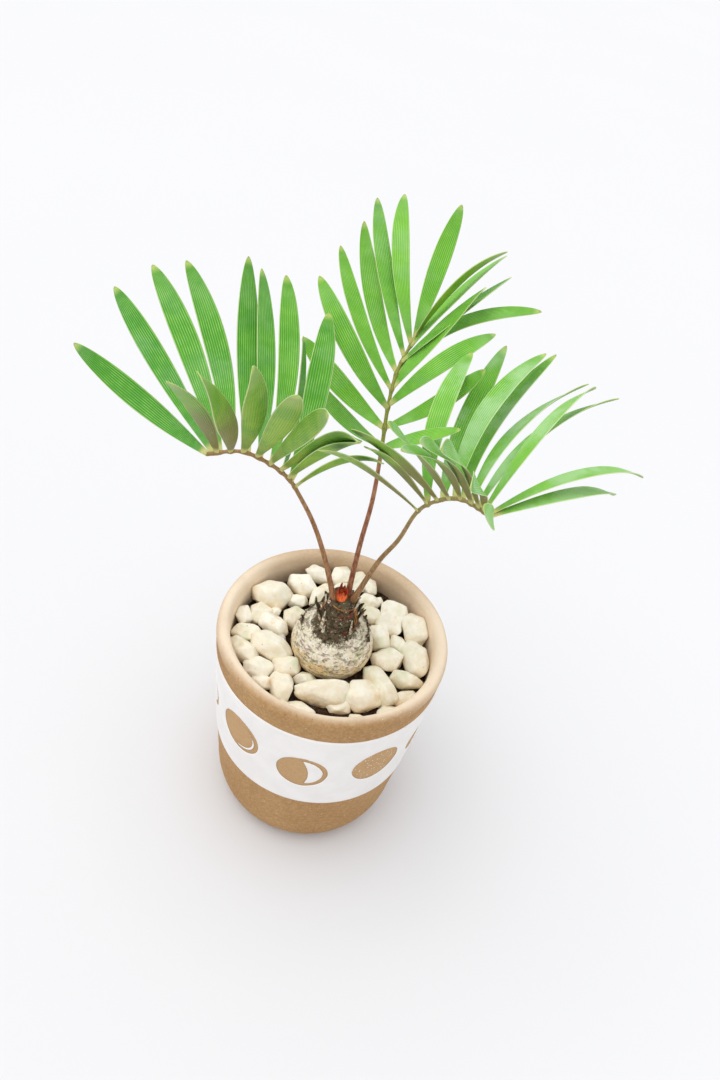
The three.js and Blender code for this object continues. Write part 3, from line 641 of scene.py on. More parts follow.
def leaf_finish():
    """A leathery leaflet. Facts on its mesh: across from -1 to 1 over its width, along from root to tip,
    upper 1 on the upper face, tone, browned and sheen per leaflet, and root in millimetres from its joint.
    The upper face is green with fine parallel veins and a painted whitish sheen in patches, standing in
    for gloss highlights, and the lower face is olive. Both have pale margins, a yellow-green tip and a
    yellow joint."""
    finish = Finish("leaflet", 0.42, 0.26)
    across, along = finish.fact("across"), finish.fact("along")
    tone, root = finish.fact("tone"), finish.fact("root")
    above = finish.step(finish.fact("upper"), 0.4, 0.6)
    patches = finish.cloud(7.0, detail=3)
    lively = finish.sum("ADD", tone, finish.sum("MULTIPLY", patches, 0.5))
    green = finish.blend(finish.step(lively, 0.1, 1.25), "2f8a12", "8bd23c")
    drift = finish.sum("MULTIPLY", finish.cloud(9.0, detail=1, shift=3.3), 0.12)
    phase = finish.sum("MULTIPLY", finish.sum("ADD", across, drift), VEIN_COUNT * math.pi)
    wave = finish.sum("COSINE", phase)
    vein = finish.step(wave, 0.35, 0.98)
    veined = finish.patch(3.0, 0.35, 0.65, 0.22, 0.56, detail=3, shift=7.1)
    green = finish.paint(green, vein, "b4e67e", veined)
    green = finish.paint(green, finish.step(wave, -0.95, -0.3, 1.0, 0.0), "2f7a10", 0.36)
    olive = finish.blend(finish.step(patches, 0.35, 0.65), "68a01c", "86b02e")
    olive = finish.paint(olive, vein, "b6c67c", 0.25)
    olive = finish.paint(olive, finish.fact("browned"), "7b7340", finish.step(along, 0.35, 0.75, 0.85, 0.0))
    olive = finish.blend(finish.step(along, 0.0, 0.35, 0.35, 0.0), olive, "86703c")
    olive = finish.blend(finish.step(along, 0.75, 1.0, 0.0, 0.45), olive, "b5c68c")
    colour = finish.blend(above, olive, green)
    margin = finish.step(finish.sum("ABSOLUTE", across), 0.9, 0.985)
    colour = finish.paint(colour, margin, "dfe5ac", 0.7)
    colour = finish.blend(finish.step(along, 0.945, 1.0, 0.0, 0.85), colour, "dbee86")
    # Painted highlight: whitish sheen patches on the upper face, as strong as the leaflet's sheen fact.
    painted_sheen = finish.sum("MULTIPLY", finish.patch(12.0, 0.44, 0.64, 0.12, 1.0, detail=4, shift=5.5), above)
    colour = finish.paint(colour, painted_sheen, "d6ecd2", finish.fact("painted_sheen"))
    colour = finish.blend(finish.step(root, 1.2, 3.4, 1.0, 0.0), colour, "d3d386")
    normal = finish.relief(wave, 0.035)
    return finish.done(colour, finish.relief(finish.cloud(0.35, detail=3), 0.02, normal))


def ground_finish():
    """A matt, nearly even light grey."""
    finish = Finish("pale_floor", 0.9, 0.2)
    return finish.done(finish.blend(finish.cloud(400, detail=1), "dfdfe1", "dcdcde"))


# ---------------------------------------------------------------- pot


def wall_radius(height):
    """Outer radius of the nearly straight wall: top - taper · depth - bow · depth², by the depth below
    the rim."""
    depth = POT_HEIGHT - np.asarray(height, float)
    return WALL_TOP_RADIUS - WALL_TAPER * depth - WALL_BOW * depth * depth


def pot_outline():
    """Radius and height from the middle of the base, out and up the wall, over the lip as half a squarish
    ellipse, and down inside to the middle of the floor. Behind the glaze band the wall is set back."""
    turn = np.linspace(0, math.pi / 2, 12)
    foot = np.stack([
        FOOT_RADIUS + (LOWEST_WALL_RADIUS - FOOT_RADIUS) * np.sin(turn),
        FOOT_ROUND_HEIGHT * (1 - np.cos(turn))], -1)
    foot[0] = (FOOT_RADIUS - 0.8, 0)
    foot[1, 1] = max(foot[1, 1], 0.35)
    up = np.linspace(FOOT_ROUND_HEIGHT, POT_HEIGHT - LIP_HEIGHT, 90)[1:-1]
    behind = ease(up, BAND_BOTTOM + 0.2, BAND_BOTTOM + 0.6) * ease(-up, -BAND_TOP + 0.2, -BAND_TOP + 0.6)
    wall = np.stack([wall_radius(up) - BAND_RECESS * behind, up], -1)
    over = np.linspace(0, math.pi, 26)
    middle = RIM_RADIUS - WALL_THICKNESS / 2
    across = np.sign(np.cos(over)) * np.abs(np.cos(over)) ** LIP_POWER
    lip = np.stack([
        middle + WALL_THICKNESS / 2 * across,
        POT_HEIGHT - LIP_HEIGHT + LIP_HEIGHT * np.abs(np.sin(over)) ** LIP_POWER], -1)
    down = np.linspace(POT_HEIGHT - LIP_HEIGHT, 24, 40)[1:]
    inside = np.stack([wall_radius(down) - WALL_THICKNESS, down], -1)
    floor = np.array([(26.5, 12), (20, FLOOR_THICKNESS), (8, FLOOR_THICKNESS), (1, FLOOR_THICKNESS)])
    return np.concatenate([[(1, 0), (12, 0)], foot, wall, lip, inside, floor])


def make_pot():
    """The turned outline, with the slight unevenness of a thrown pot, and three drain holes cut out."""
    rows = turned(pot_outline(), POT_SIDES)
    outward = unit(rows * (1, 1, 0) + 1e-9)
    unevenness = rough(rows, 22, seed=3, layers=2)[..., None] * POT_UNEVENNESS
    above_foot = ease(rows[..., 2:], 1.0, 8.0)
    rows = rows + outward * unevenness * above_foot
    pot = make_piece("clay_pot", [closed_skin(rows)], clay_finish(), "clay", "pot")
    for hole in range(DRAIN_COUNT):
        angle = hole / DRAIN_COUNT * 2 * math.pi
        drill_rows = turned([(DRAIN_RADIUS, -5.0), (DRAIN_RADIUS, FLOOR_THICKNESS + 5.0)], 32)
        drill_rows = drill_rows + (DRAIN_CIRCLE * math.cos(angle), DRAIN_CIRCLE * math.sin(angle), 0)
        cut_through(pot, closed_skin(drill_rows))


def cut_through(piece, skin):
    """Cuts a closed skin's space out of a piece, with a Boolean modifier that is applied at once."""
    points, quads, triangles, _ = skin
    mesh = bpy.data.meshes.new("drill")
    mesh.from_pydata((points * MM).tolist(), [], quads.tolist() + triangles.tolist())
    drill = placed("drill", mesh)
    cut = piece.modifiers.new("hole", "BOOLEAN")
    cut.operation, cut.object, cut.solver = "DIFFERENCE", drill, "EXACT"
    bpy.context.view_layer.update()
    evaluated = piece.evaluated_get(bpy.context.evaluated_depsgraph_get())
    whole = bpy.data.meshes.new_from_object(evaluated)
    piece.modifiers.remove(cut)
    piece.data = whole
    bpy.data.objects.remove(drill)


def glaze_distance(arc, height, moon):
    """How far a point of the band lies inside the white glaze, in millimetres, by one moon: outside its
    disc, or inside an inner disc and beyond the circle that bounds the bare part."""
    _, centre, edge, edge_radius, lean = moon
    lean = math.radians(lean)
    x = arc * math.cos(lean) + (height - centre) * math.sin(lean)
    y = (height - centre) * math.cos(lean) - arc * math.sin(lean)
    outside = np.hypot(x, y) - MOON_RADIUS
    beyond = np.hypot(x - edge + edge_radius, y) - edge_radius
    return np.maximum(outside, np.minimum(INNER_MOON_RADIUS - np.hypot(x, y), beyond))


def make_glaze_band():
    """A thin closed sleeve: its outer face stands over the clay by the glaze's thickness, and sinks back
    to the clay inside each moon along a short slope at the glaze's edge."""
    height = np.linspace(BAND_BOTTOM, BAND_TOP, BAND_ROWS)
    lattice_angle, lattice_height = np.meshgrid(turns(BAND_SIDES), height)
    glazed = np.full(lattice_angle.shape, FAR_FROM_EDGE)
    speckled = np.zeros(lattice_angle.shape)
    for index, moon in enumerate(MOONS):
        away = (lattice_angle - math.radians(moon[0]) + math.pi) % (2 * math.pi) - math.pi
        distance = glaze_distance(away * wall_radius(moon[1]), lattice_height, moon)
        place = np.stack([lattice_angle * 38, lattice_height, lattice_height * 0 + index], -1)
        glazed = np.minimum(glazed, distance + 0.16 * rough(place, 3.0))
        if index == SPECKLED_MOON:
            speckled = (distance < 0).astype(float)
    ends = np.minimum(lattice_height - BAND_BOTTOM, BAND_TOP - lattice_height)
    round_edge = np.sqrt(np.clip(ends / 0.5, 0, 1))
    stand = GLAZE_THICKNESS * ease(glazed, -0.3, 0.3) * round_edge - MOON_SINK
    outer = about_axis(wall_radius(lattice_height) + stand, lattice_angle, lattice_height)
    inner_height = np.array([BAND_TOP - 0.3, BAND_BOTTOM + 0.3])
    inner = turned(np.stack([wall_radius(inner_height) - 0.6, inner_height], -1), BAND_SIDES)
    rows = np.concatenate([outer, inner, outer[:1]])
    flat = np.zeros((2, BAND_SIDES))
    facts = {
        "glazed": np.concatenate([glazed, flat + FAR_FROM_EDGE, glazed[:1]]),
        "speckled": np.concatenate([speckled, flat, speckled[:1]]),
    }
    count = (len(rows) - 1) * BAND_SIDES
    quads = row_faces(len(rows), BAND_SIDES)
    quads = np.where(quads >= count, quads - count, quads)
    skin = (rows[:-1].reshape(-1, 3), quads, np.zeros((0, 3), int),
            {name: values[:-1].ravel() for name, values in facts.items()})
    make_piece("white_glaze", [skin], glaze_finish(), "glaze", "glaze_band")


# ---------------------------------------------------------------- soil and stones


def bulb_radius(height):
    """Radius of the bulb as an ellipsoid about Z, and 0 above and below it."""
    up = (np.asarray(height, float) - BULB_CENTRE) / BULB_HALF_HEIGHT
    return BULB_RADIUS * np.sqrt(np.clip(1 - up * up, 0, 1))


def soil_height(x, y):
    """Level of the soil between the stones, which rises towards the back less than the stones do."""
    place = np.stack([x, y, np.zeros_like(x)], -1)
    return SOIL_LEVEL + STONE_SLOPE * y * SOIL_SLOPE + 1.1 * rough(place, 5.0, seed=8, layers=4)


def make_soil():
    """A crumbly disc, whose height is layered noise over a slope, on a plain plug that fills the pot."""
    wall = wall_radius(SOIL_LEVEL) - WALL_THICKNESS - 0.25
    radius = np.linspace(wall, 3.0, 70)
    top = about_axis(radius[:, None], turns(SOIL_SIDES), 0.0)
    top[..., 2] = soil_height(top[..., 0], top[..., 1])
    inset = WALL_THICKNESS + PLUG_GAP
    floor = FLOOR_THICKNESS + PLUG_GAP
    plug = turned([
        (1, floor), (19.5, floor), (26, 12.3), (wall_radius(24) - inset, 24),
        (wall_radius(55) - inset, 55), (wall, 69)], SOIL_SIDES)
    make_piece("potting_soil", [closed_skin(np.concatenate([plug, top]))], soil_finish(), "soil", "soil")


def ball(around, rows):
    """Unit directions over a sphere: rows of latitude from the bottom up, without the two poles."""
    lift = np.linspace(-math.pi / 2, math.pi / 2, rows + 2)[1:-1, None]
    return about_axis(np.cos(lift), turns(around), np.sin(lift))


# Grains of perlite: (x, y, size).
PERLITE = [
    (-22.5, 7.4, 1.5), (-17.4, -1.4, 1.6), (7.3, -14.6, 0.9), (10.5, -12.8, 0.8), (9.0, -15.5, 0.6),
    (14.5, 1.5, 0.9), (-14.8, -6.5, 0.8), (24.0, 10.0, 0.8), (-31.0, 3.0, 0.9), (3.0, 24.5, 0.8),
]


def make_crumbs():
    """Crumbs of soil at drawn places and a few white grains of perlite, as small uneven balls."""
    directions = ball(8, 5)
    crumbs, grains = [], []
    wall = wall_radius(SOIL_LEVEL) - WALL_THICKNESS
    for index in range(CRUMB_COUNT):
        reach = math.sqrt(draw(index + 0.1) * (wall**2 - CRUMB_START**2) + CRUMB_START**2) - 1.2
        turn = draw(index + 0.7) * 2 * math.pi
        crumbs.append(grain(directions, reach * math.cos(turn), reach * math.sin(turn),
                            0.35 + 0.9 * draw(index + 0.4) ** 2, index))
    for index, (x, y, size) in enumerate(PERLITE):
        grains.append(grain(ball(12, 8), x, y, size, index + 500, lift=1.6))
    make_piece("soil_crumbs", crumbs, soil_finish(), "soil")
    make_piece("perlite_grains", grains, perlite_finish(), "soil")


def grain(directions, x, y, size, seed, lift=0.3):
    """An uneven ball, raised over the soil by a share of its size."""
    uneven = 1 + 0.35 * rough(directions * 2 + seed, 1.2, seed=5, layers=2)
    height = soil_height(np.array([x]), np.array([y]))[0]
    rows = directions * uneven[..., None] * size + (x, y, height + lift * size)
    return closed_skin(rows)


# Stones as they lie: middle (x, y), length, width, turn of the long side in degrees, lift over the bed, and
# taper, the share by which the stone is thicker at one end of its long side. The first five numbers of the
# first 37 stones are the output of a separate fitting program. The rest were typed.
STONES = [
    (-24.7, 14.5, 14.7, 10.2, -3, 0.6, 0.3), (-15.3, 21.7, 11.4, 7.4, -30, 0.5, 0),
    (-15.3, 15.3, 6.9, 4.5, 4, -0.6, 0), (-10.4, 28.4, 9.4, 6.1, -15, 0.2, 0),
    (-7.7, 19.2, 12.7, 6.7, 70, 0.4, 0.1), (-2.5, 30.6, 7.8, 7.5, 56, 0, 0),
    (4.3, 29.2, 9, 6.9, -82, 0.2, 0), (8.2, 29, 8.2, 5.9, -66, -0.3, 0), (9.2, 21.4, 8, 5.6, -2, 0.2, 0),
    (11.2, 16, 7.5, 6.6, -90, 0.3, 0), (19.4, 19.4, 9.8, 9.1, 3, 0, 0), (19, 13.7, 9, 8.7, -49, 1, -0.35),
    (27.7, 14.2, 11.6, 9, -77, 0.4, 0), (15.7, 7.6, 9, 8.5, -34, 0.6, 0),
    (23.1, 6.6, 8.2, 5.8, -58, -0.5, 0), (20, -1.2, 11, 7.3, -2, 0.9, 0.2),
    (29.8, 1.7, 13.9, 8.7, -67, 0.8, 0), (27.5, -7, 10.2, 5.4, 1, 0.2, -0.25),
    (19, -11.8, 15.6, 8.4, -47, -0.3, 0), (28.4, -13, 8, 4.7, 26, -0.8, 0),
    (14.1, -17.3, 11.4, 10.2, -6, 1.2, 0), (-0.2, -19.6, 17.1, 7.6, 9, 1.2, 0.42),
    (6.9, -21.6, 7.6, 6.1, 17, -0.6, 0), (-6, -14.4, 7.4, 4.2, 6, -0.8, 0),
    (-12.9, -12.3, 8.2, 7.8, 21, 0.8, 0), (-13, -19.8, 10.4, 8, -67, 0, 0.15),
    (-19.4, -19.4, 6.4, 4.9, -4, -0.8, 0), (-22, -14.7, 9.3, 6.7, 9, 0, 0),
    (-28.2, -9.8, 11.7, 7.1, -39, -0.2, 0), (-19.4, -6.8, 13.6, 8.8, -18, 1.2, 0),
    (-29.3, -3.2, 10.4, 5.6, 7, 0.3, 0.2), (-20.7, 2.3, 9.8, 6.8, -11, 0.8, 0),
    (-26.1, 6.2, 8, 7.5, -79, 0.2, 0), (-32.2, 4.2, 8.5, 6, -59, 0, 0), (-14, 7.5, 9.3, 8.5, 22, 0, 0),
    (-21.9, 8.2, 3.9, 3.5, 20, 0.2, 0), (13, 23.3, 4, 3.7, 85, -0.3, 0), (0, 17, 9, 8, 0, 0, 0),
    (0, 23, 9, 7, 30, 0, 0), (-4.5, -26.2, 9, 6, -10, -1.5, 0), (-12, -27.4, 8, 6, 20, -1, 0),
    (15.5, -26.5, 8, 6, -30, -1, 0), (23.5, -20.5, 8, 6, 45, -1.2, 0),
    (-8, -32, 6, 5, 10, -1.2, 0), (1, -31.6, 7, 5, -5, -1.2, 0), (9, -31, 7, 5, -15, -1.2, 0),
    (-19, -26.6, 7, 5, 35, -1.2, 0), (20, -26.8, 6, 5, -40, -1.2, 0),
]


def stone(row, index):
    """A tumbled stone. Its reach along a direction is (Σ (cosine / distance)^p)^(-1/p) over a spiral of
    planes at drawn distances, the topmost of them close, which rounds the edges between its flat sides.
    It is then tapered, stretched, tipped, turned and set down, and kept off the bulb and the wall."""
    x, y, length, width, turn, lift, taper = row
    directions = ball(STONE_SIDES, STONE_ROWS)
    plane = np.arange(STONE_PLANES)
    up = 1 - 2 * (plane + 0.5) / STONE_PLANES
    angle = plane * math.pi * (3 - math.sqrt(5)) + 6.28 * draw(index + 0.5)
    normals = about_axis(np.sqrt(1 - up**2), angle, up)
    distance = 0.73 + 0.30 * draw(index * 17 + plane)
    distance[0] = 0.76 + 0.1 * draw(index + 0.8)
    facing = np.maximum(directions @ normals.T / distance, 0)
    reach = (facing**STONE_SHARPNESS).sum(-1) ** (-1 / STONE_SHARPNESS)
    reach = STONE_SWELL * reach * (1 + 0.055 * rough(directions * 2.2 + index * 3, 0.9, seed=2))
    height = STONE_FLATNESS * (length + width)
    points = directions * reach[..., None]
    points[..., 1:] *= 1 + taper * points[..., :1]
    points = points * (length / 2, width / 2, height / 2)
    tip = 0.5 * (draw(index + 200) - 0.5)
    points = points @ np.array([
        [1, 0, 0], [0, math.cos(tip), math.sin(tip)], [0, -math.sin(tip), math.cos(tip)]])
    spin = math.radians(turn)
    points = points @ np.array([
        [math.cos(spin), math.sin(spin), 0], [-math.sin(spin), math.cos(spin), 0], [0, 0, 1]])
    points = points + (x, y, STONE_LEVEL + STONE_SLOPE * y + lift)
    out = np.hypot(points[..., 0], points[..., 1])
    inner = bulb_radius(points[..., 2]) + STONE_GAP
    outer = wall_radius(points[..., 2]) - WALL_THICKNESS - STONE_GAP
    points[..., :2] *= (np.clip(out, inner, outer) / np.maximum(out, 1e-6))[..., None]
    return closed_skin(points, {"tone": draw(index + 0.3), "top": directions[..., 2]})


def make_stones():
    """All stones as one piece."""
    stones = [stone(row, index) for index, row in enumerate(STONES)]
    make_piece("pale_stones", stones, stone_finish(), "pebbles", "pebbles")


# ---------------------------------------------------------------- ribbons and rods


def ribbon(middle, edge, upper, half_width, thickness, around, cup):
    """A closed strip along a path. About each middle point runs a flattened ring: half the width times
    the cosine along edge, and along upper half the thickness times the sine to the power 0.6, plus cup
    times the cosine squared, which bends the edges up."""
    turn = turns(around)
    sideways, over = np.cos(turn), np.sign(np.sin(turn)) * np.abs(np.sin(turn)) ** 0.6
    lift = thickness[:, None] / 2 * over + cup[:, None] * sideways**2
    return (middle[:, None] + edge[:, None] * (half_width[:, None] * sideways)[..., None]
            + upper[:, None] * lift[..., None])


def path_frame(middle):
    """The direction along a path at each of its points, by central differences."""
    return unit(np.gradient(middle, axis=0))


def rod(middle, radius, around):
    """A round rod along a path, about a frame that keeps one side as near +Y as it can."""
    ahead = path_frame(middle)
    side = unit(np.array([0, 1.0, 0]) - ahead * ahead[:, 1:2])
    up = np.cross(ahead, side)
    turn = turns(around)
    return (middle[:, None] + radius[:, None, None] * (
        side[:, None] * np.cos(turn)[:, None] + up[:, None] * np.sin(turn)[:, None]))


# ---------------------------------------------------------------- bulb and crown


def make_bulb():
    """Tap root, bulb, torn shoulder ring and neck as one skin about Z. Layered noise moves it in and out:
    fine level cracks on the globe, ragged height on the ring, and coarse bark on the neck. The facts
    darken the neck further out at the front left, crust the shoulders and redden the neck's right."""
    globe = np.linspace(68.0, RING_HEIGHT, 90)
    buried = [(1.2, 36.0), (3.0, 55.0), (4.0, 67.6)]
    neck = [
        (RING_RADIUS, 87.1), (10.4, 87.2), (9.2, 87.4), (7.9, 88.4), (6.9, 90.0), (NECK_RADIUS, 92.0),
        (5.9, 96.0), (5.4, 99.0), (4.9, 101.0), (4.0, CROWN_HEIGHT), (2.0, CROWN_HEIGHT + 0.2),
    ]
    outline = np.concatenate([
        buried, np.stack([bulb_radius(globe), globe], -1),
        even_path([(bulb_radius(RING_HEIGHT), RING_HEIGHT)] + neck, 0.28)[1:]])
    rows = turned(outline, BULB_SIDES)
    radius, height = outline[:, :1], outline[:, 1:]
    angle = turns(BULB_SIDES)
    outward = about_axis(1.0, angle, 0.0)[None]
    above = ease(height, 70.0, 74.0)
    cracks = rough(rows * (1, 1, 3.4), 3.0, seed=11, layers=4)
    swell = rough(rows, 9.0, seed=12, layers=2)
    on_neck = ease(height, 86.8, 90.0)
    coarse = 0.8 * rough(rows * (1, 1, 0.6), 2.2, seed=14, layers=4)
    push = above * ((1 - on_neck) * (0.45 * swell - 0.5 * np.abs(cracks)) + on_neck * coarse)
    rows = rows + outward * push[..., None]
    ring = np.exp(-((radius - RING_RADIUS) / 0.9) ** 2) * ease(height, 85.2, 86.6)
    degrees = np.degrees(angle)[None]
    torn = torn_share(degrees)
    rows[..., 2] += ring * (1.3 * rough(rows, 2.2, seed=17, layers=4) + 0.7 * torn)
    front_left = np.exp(-(((degrees - 255) / 38) ** 2))
    neck_reach = 7.6 + 1.5 * front_left
    dark = ease(neck_reach - radius, -2.2, 1.8) * ease(height, 86.4, 87.4)
    dark = dark + 0.45 * rough(rows, 2.4, seed=19, layers=4) * ease(height, 85.0, 87.5)
    dark = dark + 1.1 * torn * np.exp(-((radius - 11.3) / 0.6) ** 2) * ease(height, 85.4, 86.4)
    crust = ease(height, 78.5, 85.5) + 0.4 * rough(rows, 5.0, seed=21, layers=3)
    right_side = np.exp(-((angle - math.radians(-42)) / 0.45) ** 2)[None]
    rust = right_side * ease(height, 86.5, 88.5) * ease(-height, -97.0, -92.0)
    return closed_skin(rows, {"bark": dark, "crust": crust, "rust": rust})


def torn_share(angle):
    """How much torn bark stands on the shoulders, from 0 to 1: high on the left and the right and behind,
    nothing in front. Angles in degrees."""
    from_front = np.abs((np.asarray(angle, float) + 90 + 180) % 360 - 180)
    return ease(from_front, 48, 95)


def scale_leaf(angle, foot, sideways, tip, width, curl, seed, bark, rust):
    """A dry scale: a ribbon from its foot to its tip, both a radius and a height, whose middle is a
    parabola that curl draws in, and whose ragged width narrows to a point. The tip sways sideways."""
    share = np.linspace(0, 1, SCALE_ROWS)
    turn = math.radians(angle)
    out = np.array([math.cos(turn), math.sin(turn), 0])
    side = np.array([-math.sin(turn), math.cos(turn), 0])
    radius = foot[0] + (tip[0] - foot[0]) * share + curl * (share**2 - share)
    height = foot[1] + (tip[1] - foot[1]) * share
    sway = sideways * share**2
    middle = out * radius[:, None] + side * sway[:, None] + np.array([0, 0, 1.0]) * height[:, None]
    ahead = path_frame(middle)
    edge = unit(side - ahead * (ahead @ side)[:, None])
    upper = np.cross(ahead, edge)
    ragged = 1 + 0.3 * rough(np.stack([share * 9, share * 0 + seed, share * 0], -1), 1.6)
    half_width = width / 2 * (1 - share**2.2 * 0.86) * ragged
    thickness = np.full(SCALE_ROWS, SCALE_THICKNESS)
    rows = ribbon(middle, edge, upper, half_width, thickness, SCALE_SIDES, 0.4 * half_width)
    return closed_skin(rows, {"bark": bark, "crust": 1 - bark, "rust": rust})


# Dry scales that stand out of the crown and the shoulders: angle, foot, how far the tip is sideways,
# tip, width, curl, darkness and rust. Feet and tips are (radius, height).
SCALES = [
    (202, (6.2, 90.0), 0.8, (8.0, 96.4), 4.0, 0.8, 0.5, 0.1),
    (228, (6.0, 91.0), -0.6, (6.8, 96.8), 3.4, 0.6, 1.0, 0.0),
    (176, (6.2, 90.5), -1.0, (8.8, 95.6), 3.2, 0.9, 0.9, 0.0),
    (-8, (6.0, 91.0), 0.8, (8.4, 98.6), 3.4, 0.7, 1.0, 0.2),
    (-32, (6.3, 89.0), 0.6, (8.6, 95.6), 3.0, 0.8, 1.0, 0.5),
    (-55, (6.4, 88.6), -0.8, (7.4, 92.6), 3.0, 0.6, 1.0, 0.7),
    (20, (5.9, 92.0), -0.8, (7.6, 99.0), 3.2, 0.5, 0.9, 0.1),
    (60, (5.8, 93.0), 0.5, (7.0, 99.4), 3.6, 0.4, 0.9, 0.0),
    (100, (5.8, 93.0), -0.4, (7.0, 99.0), 3.6, 0.4, 0.9, 0.0),
    (140, (5.9, 92.0), 0.6, (7.4, 97.8), 3.6, 0.5, 0.8, 0.0),
    (255, (5.6, 95.5), 0.5, (5.8, 100.2), 3.0, 0.3, 1.0, 0.1),
    (285, (5.6, 95.0), -0.5, (5.7, 99.6), 3.2, 0.3, 1.0, 0.4),
    (312, (5.6, 94.5), 0.4, (6.1, 100.0), 3.0, 0.4, 0.9, 0.7),
    (190, (5.2, 97.0), 0.3, (5.6, 102.2), 3.0, 0.3, 0.2, 0.3),
    (216, (5.0, 98.0), -0.2, (5.0, 102.8), 2.6, 0.2, 0.3, 0.5),
    (-20, (5.0, 97.0), 0.3, (6.2, 102.8), 2.6, 0.3, 0.3, 0.6),
    (5, (5.0, 98.0), -0.5, (5.8, 103.2), 2.4, 0.2, 0.3, 0.5),
    (226, (7.0, 88.8), 0.3, (6.5, 98.4), 1.7, 0.3, 0.35, 0.2),
    (322, (7.2, 88.8), -0.5, (6.6, 96.4), 1.5, 0.3, 0.35, 0.3),
    (238, (7.4, 88.4), 0.4, (7.0, 93.0), 1.3, 0.4, 0.2, 0.0),
]


def shoulder_flakes():
    """Torn scraps of bark round the shoulder ring, at drawn angles, lengths and curls."""
    flakes = []
    for index in range(FLAKE_COUNT):
        angle = (index + 0.9 * draw(index + 0.2)) / FLAKE_COUNT * 360
        share = float(torn_share(angle))
        length = share * (0.9 + 2.6 * draw(index + 0.6) ** 1.5)
        if length < 0.7:
            continue
        flakes.append(scale_leaf(
            angle, (11.0 + 0.5 * draw(index + 3.3), 85.8), 1.8 * (draw(index + 0.9) - 0.5),
            (11.0 + 1.8 * draw(index + 1.4), 86.4 + length), 1.5 + 2.6 * draw(index + 2.1),
            0.6, index, 0.45 + 0.6 * draw(index + 5.5), 0.0))
    return flakes


def fibre(corners):
    """A dry fibre: a thin rod along straight stretches that layered noise makes uneven."""
    path = even_path(corners, 0.4)
    path = path + 0.3 * np.stack([rough(path, 2.0, seed=seed) for seed in (41, 42, 43)], -1)
    return closed_skin(rod(path, np.full(len(path), FIBRE_RADIUS), around=6))


def make_fibres():
    """Dry fibres of the old sheath that lie round the front of the crown and hang down its sides."""
    fibres = [
        [(-2.4, -4.9, 101.8), (-0.4, -5.7, 101.2), (2.2, -5.5, 101.0), (4.6, -3.9, 101.2)],
        [(4.5, -4.1, 101.3), (5.4, -4.0, 98.4), (6.1, -4.1, 95.2), (6.6, -4.6, 92.6)],
        [(4.9, -3.4, 101.0), (6.0, -3.3, 97.5), (6.6, -3.4, 94.0)],
        [(-4.7, -3.0, 101.2), (-5.6, -3.4, 98.8), (-6.4, -3.2, 96.6)],
    ]
    make_piece("crown_fibres", [fibre(corners) for corners in fibres], fibre_finish(), "bulb")


def make_caudex():
    """Root, bulb, neck and all the dry scales on them as one piece."""
    scales = [scale_leaf(*row[:6], index, *row[6:]) for index, row in enumerate(SCALES)]
    make_piece("bulb_stem", [make_bulb()] + scales + shoulder_flakes(), bulb_finish(), "bulb", "caudex")


# Scales of the bud: angle, the tip's reach from the bud's axis, its height over the crown, and darkness.
BUD_SCALES = [
    (200, 1.5, 5.2, 0.4), (250, 1.2, 3.4, 0.0), (292, 1.5, 4.2, 0.0), (335, 1.7, 3.0, 0.0),
    (20, 1.4, 4.6, 0.1), (75, 1.2, 5.0, 0.3), (140, 1.0, 6.4, 0.6),
]


def make_bud():
    """A pointed bud: an egg-shaped core about a leaning axis, a little flatter along Y, with the pointed
    scales of BUD_SCALES round it."""
    share = np.linspace(0, 1, 30)[:, None]
    angle = turns(BUD_SIDES)[None]
    body = BUD_RADIUS * (1 - share) ** 0.62 * (1 + 0.25 * np.sin(math.pi * share)) + 0.06
    height = CROWN_HEIGHT - 0.8 + BUD_HEIGHT * share + 0 * angle
    x = BUD_PLACE[0] - 0.5 * share + body * np.cos(angle)
    y = BUD_PLACE[1] + body * np.sin(angle) * 0.85
    core = closed_skin(np.stack([x, y, height], -1), {"dark": 0.15 + 0.6 * ease(share, 0.5, 0.9)})
    scales = []
    for index, (turn, reach, tip, dark) in enumerate(BUD_SCALES):
        points, quads, triangles, _ = scale_leaf(
            turn, (1.5, CROWN_HEIGHT - 0.6), 0.3 * (draw(index + 0.8) - 0.5), (reach, CROWN_HEIGHT + tip),
            2.3, -0.9, index + 60, dark, 0.0)
        points = points + (BUD_PLACE[0], BUD_PLACE[1], 0)
        at_tip = ease(points[:, 2], CROWN_HEIGHT + 0.45 * tip, CROWN_HEIGHT + tip)
        scales.append((points, quads, triangles, {"dark": np.clip(dark + 0.55 * at_tip**2, 0, 1)}))
    make_piece("frond_bud", [core] + scales, bud_finish(), "bud", "new_bud")
